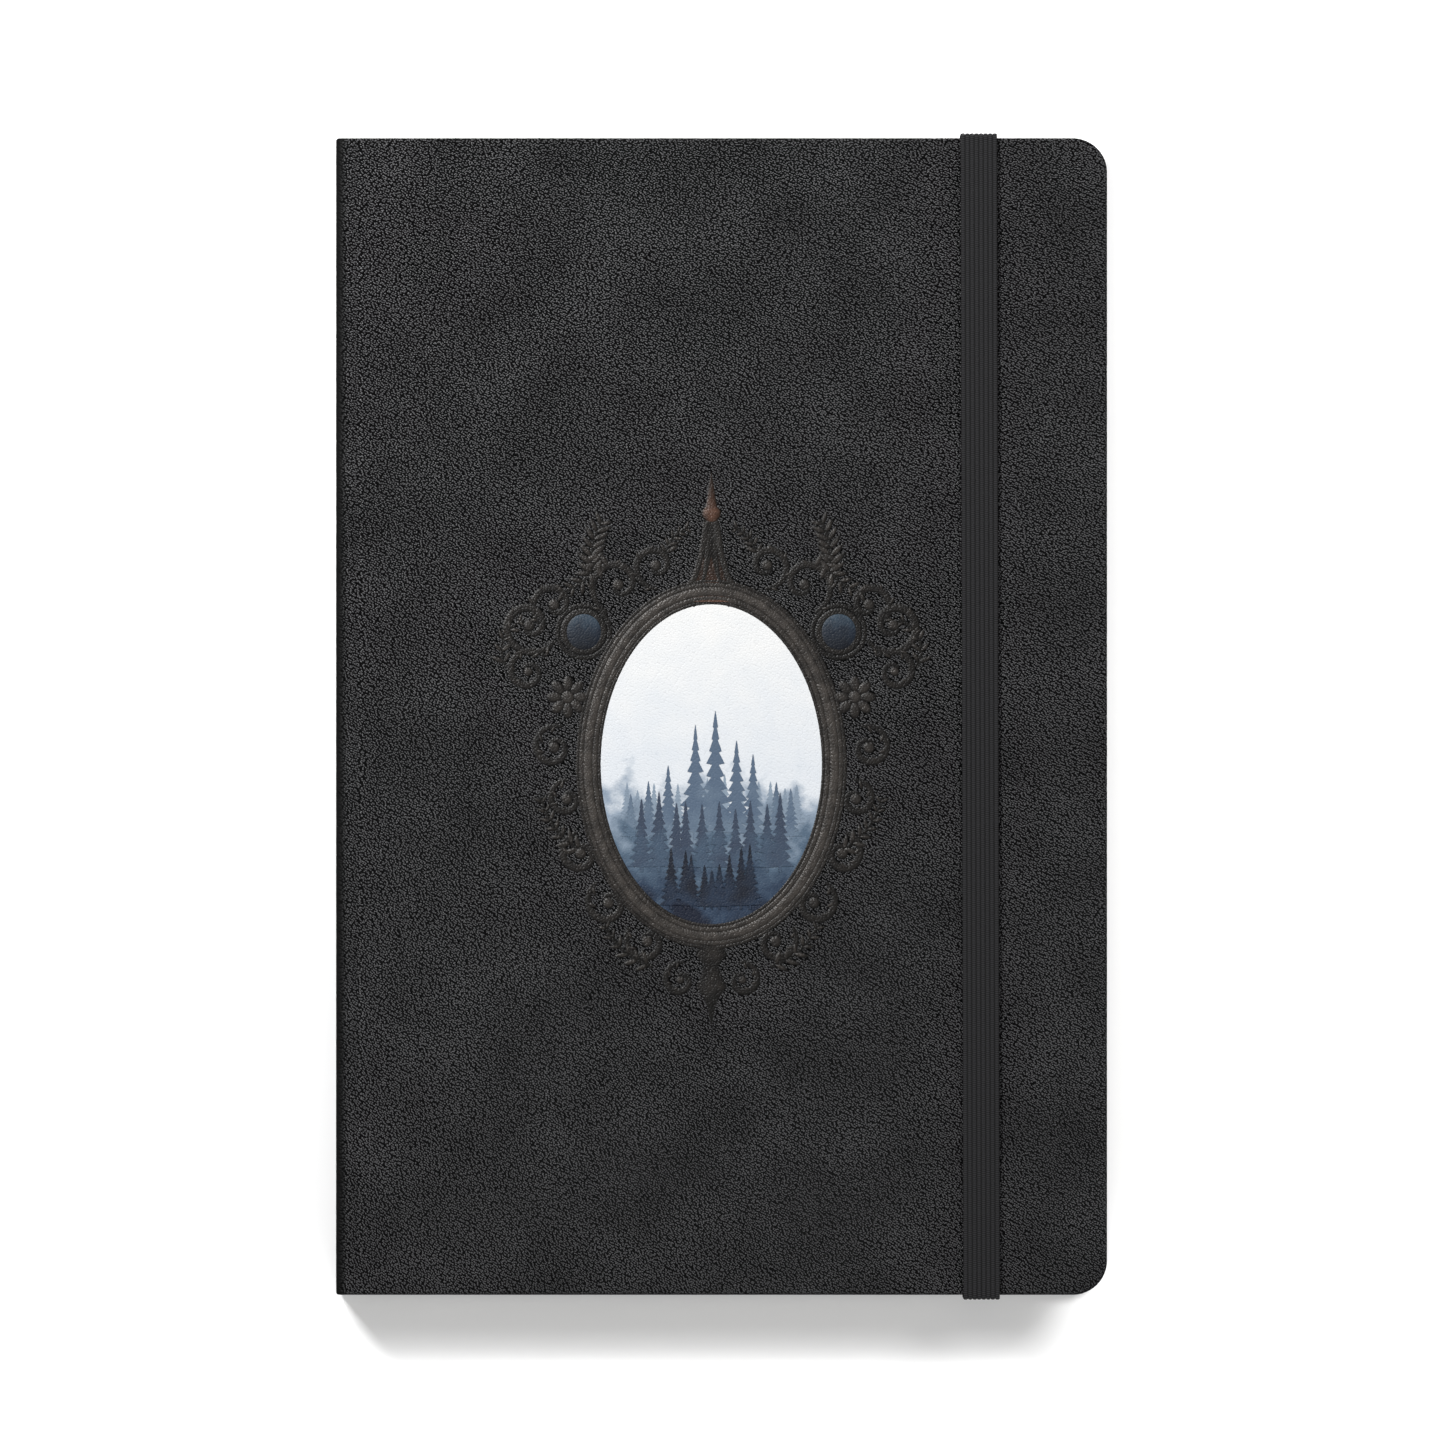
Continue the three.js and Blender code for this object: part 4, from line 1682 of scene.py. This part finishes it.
    def finials(self) -> None:
        """The spire at the top, with its copper tip and ribs, and the pendant at the foot."""
        for name, profile, ink, press in (
            ("spire", self.spire, self.copper, 0.22),
            ("spire_tip", self.spire_tip, self.copper, 1.1),
            ("pendant", self.pendant, self.pewter, 0.36),
        ):
            route = [(0.0, y * MM, 0.0) for y, _ in profile]
            bench = self.ridge(name, route, [width * MM for _, width in profile])
            self.finish(bench.resize((1, 1, press), (0, 0, 0)), ink)
        route = [(x * MM, y * MM, 0.0) for x, y in self.spire_ribs]
        ribs = [self.ridge("spire_ribs", route, [0.55 * MM] * len(route))]
        inner = [(0.42 * x, y, z) for x, y, z in route]
        ribs.append(self.ridge("spire_ribs", inner, [0.4 * MM] * len(route)))
        bench = join("spire_ribs", ribs).modify("MIRROR")
        self.finish(bench.place((0, 0, self.film)), self.pewter)

    def stones(self) -> None:
        """Two dark blue cabochons in their rims, and a rosette below each."""
        blue = PrintedGradient(
            "cabochon ink",
            (self.cabochon[1] - 3.5) * MM,
            (self.cabochon[1] + 3.5) * MM,
            ((0.0, (0.0025, 0.0035, 0.006)), (0.55, (0.006, 0.010, 0.017)), (1.0, (0.022, 0.036, 0.052))),
            cloud=0.12,
            cloud_size=1.5 * MM,
            gloss=0.4,
        )
        spot = (self.cabochon[0] * MM, self.cabochon[1] * MM, 0.0)
        stone = Bench.dome("cabochons", (3.3 * MM, 3.5 * MM, 0.3 * MM), 24).place(spot)
        self.finish(stone.modify("MIRROR"), blue)
        around = 40
        rims = []
        for radius, width in ((3.7, 0.7), (4.9, 0.45)):
            ring = [(x + spot[0], y, 0.0) for x, y, _ in oval((radius * MM, radius * MM), spot[1], around)]
            rims.append(self.ridge("cabochon_rims", ring, [width * MM] * around, True))
        self.finish(join("cabochon_rims", rims).modify("MIRROR"), self.pewter)
        petals = [Bench.dome("rosettes", (1.25 * MM, 1.25 * MM, 0.3 * MM), 14)]
        for k in range(self.petals):
            angle = 2 * math.pi * k / self.petals
            petal = Bench.dome("petal", (1.55 * MM, 1.0 * MM, 0.22 * MM), 12).place((2.5 * MM, 0, 0))
            petals.append(petal.turn(angle, "Z", (0, 0, 0)))
        rosette = join("rosettes", petals).place((self.rosette[0] * MM, self.rosette[1] * MM, 0))
        self.finish(rosette.modify("MIRROR"), self.pewter)

    def flourishes(self) -> None:
        """The scrolls and the leaf sprigs on both sides of the ring."""
        stems, leaves = [], []
        for mark in self.scrolls:
            route = scroll(mark.centre, mark.radii, mark.degrees)
            last = len(route) - 1
            swells = [math.sin(math.pi * (k / last) ** 0.7) for k in range(last + 1)]
            widths = [mark.width * MM * (0.45 + 0.55 * swell) for swell in swells]
            stems.append(self.ridge("scrolls", route, widths))
            bud = Bench.dome("bud", (mark.bud * MM, mark.bud * MM, 0.24 * MM), 12)
            stems.append(bud.place((mark.centre[0] * MM, mark.centre[1] * MM, 0)))
            leaves += self.leaf_row(route[: last // 2], 4, 1.1 * mark.width * 2.2, True)
        for sprig in self.sprigs:
            route = scroll(sprig.centre, sprig.radii, sprig.degrees, sprig.leaves * 2)
            stems.append(self.ridge("scrolls", route, [sprig.width * MM] * len(route)))
            leaves += self.leaf_row(route, sprig.leaves, sprig.length, False)
        self.finish(join("scrolls", stems).modify("MIRROR"), self.pewter)
        self.finish(join("leaf_sprigs", leaves).modify("MIRROR"), self.pewter)

    def leaf_row(self, route: Sequence[Point], count: int, length: float, one_side: bool) -> list[Bench]:
        """Pointed leaves that stand off a route.

        Args:
            route: The stem they grow from.
            count: How many there are along it.
            length: Their length in millimetres.
            one_side: Only on the route's outer side.

        Returns:
            The leaves.
        """
        leaves = []
        for k in range(count):
            at = min(int((k + 0.5) / count * (len(route) - 1)), len(route) - 2)
            here, ahead = Vector(route[at]), Vector(route[at + 1])
            run = math.atan2(ahead.y - here.y, ahead.x - here.x)
            for lean in (-1,) if one_side else (-1, 1):
                long = length * MM * self.draws.uniform(0.8, 1.1) * (1 - 0.35 * k / count)
                leaf = Bench.dome("leaf", (long / 2, long * 0.2, 0.22 * MM), 12)
                leaf.move(lambda at, tip=long * 0.45: at.x > tip, (long * 0.16, 0, 0))
                leaf.place((long / 2, 0, 0)).turn(run + lean * math.radians(48), "Z", (0, 0, 0))
                leaves.append(leaf.place(here))
        return leaves


@dataclass
class PlainParts:
    """The boards, linings and pastedowns, which show just as the frame has them."""

    finishes: dict[str, tuple[Finish, str]] = field(
        default_factory=lambda: {
            "front_board": (GREYBOARD, "greyboard"),
            "back_board": (GREYBOARD, "greyboard"),
            "spine_stiffener": (GREYBOARD, "greyboard"),
            "spine_lining": (KRAFT, "kraft"),
            "mull": (GAUZE, "gauze"),
            "sewing_thread": (THREAD, "thread"),
            "front_pastedown": (ENDPAPER, "endpaper"),
            "back_pastedown": (ENDPAPER, "endpaper"),
            "elastic_tab_head": (ELASTIC_ON_EDGE, "elastic"),
            "elastic_tab_tail": (ELASTIC_ON_EDGE, "elastic"),
        }
    )

    def build(self) -> None:
        """Give each part its finish."""
        for name, (finish, slot) in self.finishes.items():
            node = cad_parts[name]
            node.data.materials.clear()
            node.data.materials.append(finish.material())
            LOG.info("dressed %s", name)


@dataclass(frozen=True)
class SoftLight:
    """A flat soft light, turned to the middle of the book."""

    name: str
    place: Point
    size: tuple[float, float]
    power: float
    gleams: bool = True

    def build(self) -> None:
        """Hang the light, kept out of the gloss if it only softens the shadows."""
        Bench.clear()
        bpy.ops.object.light_add(type="AREA", location=self.place)
        lamp = bpy.context.active_object
        lamp.name = self.name
        lamp.data.shape = "RECTANGLE"
        lamp.data.size, lamp.data.size_y = self.size
        lamp.data.energy = self.power
        lamp.rotation_euler = (-Vector(self.place)).to_track_quat("-Z", "Y").to_euler()
        lamp.visible_glossy = self.gleams


@dataclass
class Studio:
    """A pale floor, soft lights round the book, and a long lens straight above the cover."""

    book: Book
    floor_reach: float = 8.0
    lights: tuple[SoftLight, ...] = (
        SoftLight("key_light", (-0.34, 0.33, 0.46), (0.16, 0.16), 4.6),
        SoftLight("side_light", (1.1, 1.1, 1.5), (0.9, 0.9), 46.0, False),
        SoftLight("foot_light", (0.0, -1.8, 1.5), (2.6, 1.0), 34.0, False),
    )
    room_light: float = 0.2
    camera_at: Point = (0.00019, -0.00112, 3.0)
    width_seen: float = 0.2698
    sensor: float = 36.0

    def build(self) -> None:
        """Set out the floor, the lights and the camera."""
        self.floor()
        for light in self.lights:
            light.build()
        self.room()
        self.camera()
        bpy.context.scene.view_settings.view_transform = "Standard"

    def floor(self) -> None:
        """A wide pale floor under the book."""
        reach = self.floor_reach
        bench = Bench.plane("floor", (-reach, -reach, 0), (reach, reach, 0))
        shader = Shader("pale floor", Roughness=0.9, Specular_IOR_Level=0.1)
        cloud = shader.noise(shader.place(), 0.2, 2.0)
        shader.colour(shader.ramp(cloud, [(0.0, (0.93, 0.93, 0.93)), (1.0, (0.96, 0.96, 0.96))]))
        bench.piece.data.materials.append(shader.material)
        bench.piece.visible_glossy = False

    def room(self) -> None:
        """Faint even light from all round."""
        world = bpy.data.worlds.new("soft room")
        world.use_nodes = True
        background = world.node_tree.nodes["Background"]
        background.inputs["Color"].default_value = (1, 1, 1, 1)
        background.inputs["Strength"].default_value = self.room_light
        bpy.context.scene.world = world

    def camera(self) -> None:
        """A long lens that looks straight down."""
        Bench.clear()
        bpy.ops.object.camera_add(location=self.camera_at, rotation=(0, 0, 0))
        camera = bpy.context.active_object
        camera.name = "camera"
        camera.data.type = "PERSP"
        camera.data.sensor_width = self.sensor
        camera.data.lens = self.sensor * (self.camera_at[2] - self.book.top_z) / self.width_seen
        camera.data.clip_end = 100
        bpy.context.scene.camera = camera


def main() -> None:
    """Build the sketchbook round its frame, and set up its light and camera."""
    logging.basicConfig(level=logging.INFO, format="%(name)s: %(message)s")
    book = Book.measure()
    parts = (CaseSkin(book), Leaves(book), Headbands(), ElasticBand(book), CoverPrint(book), PlainParts())
    for part in parts:
        part.build()
    Studio(book).build()


if __name__ == "__main__":
    main()
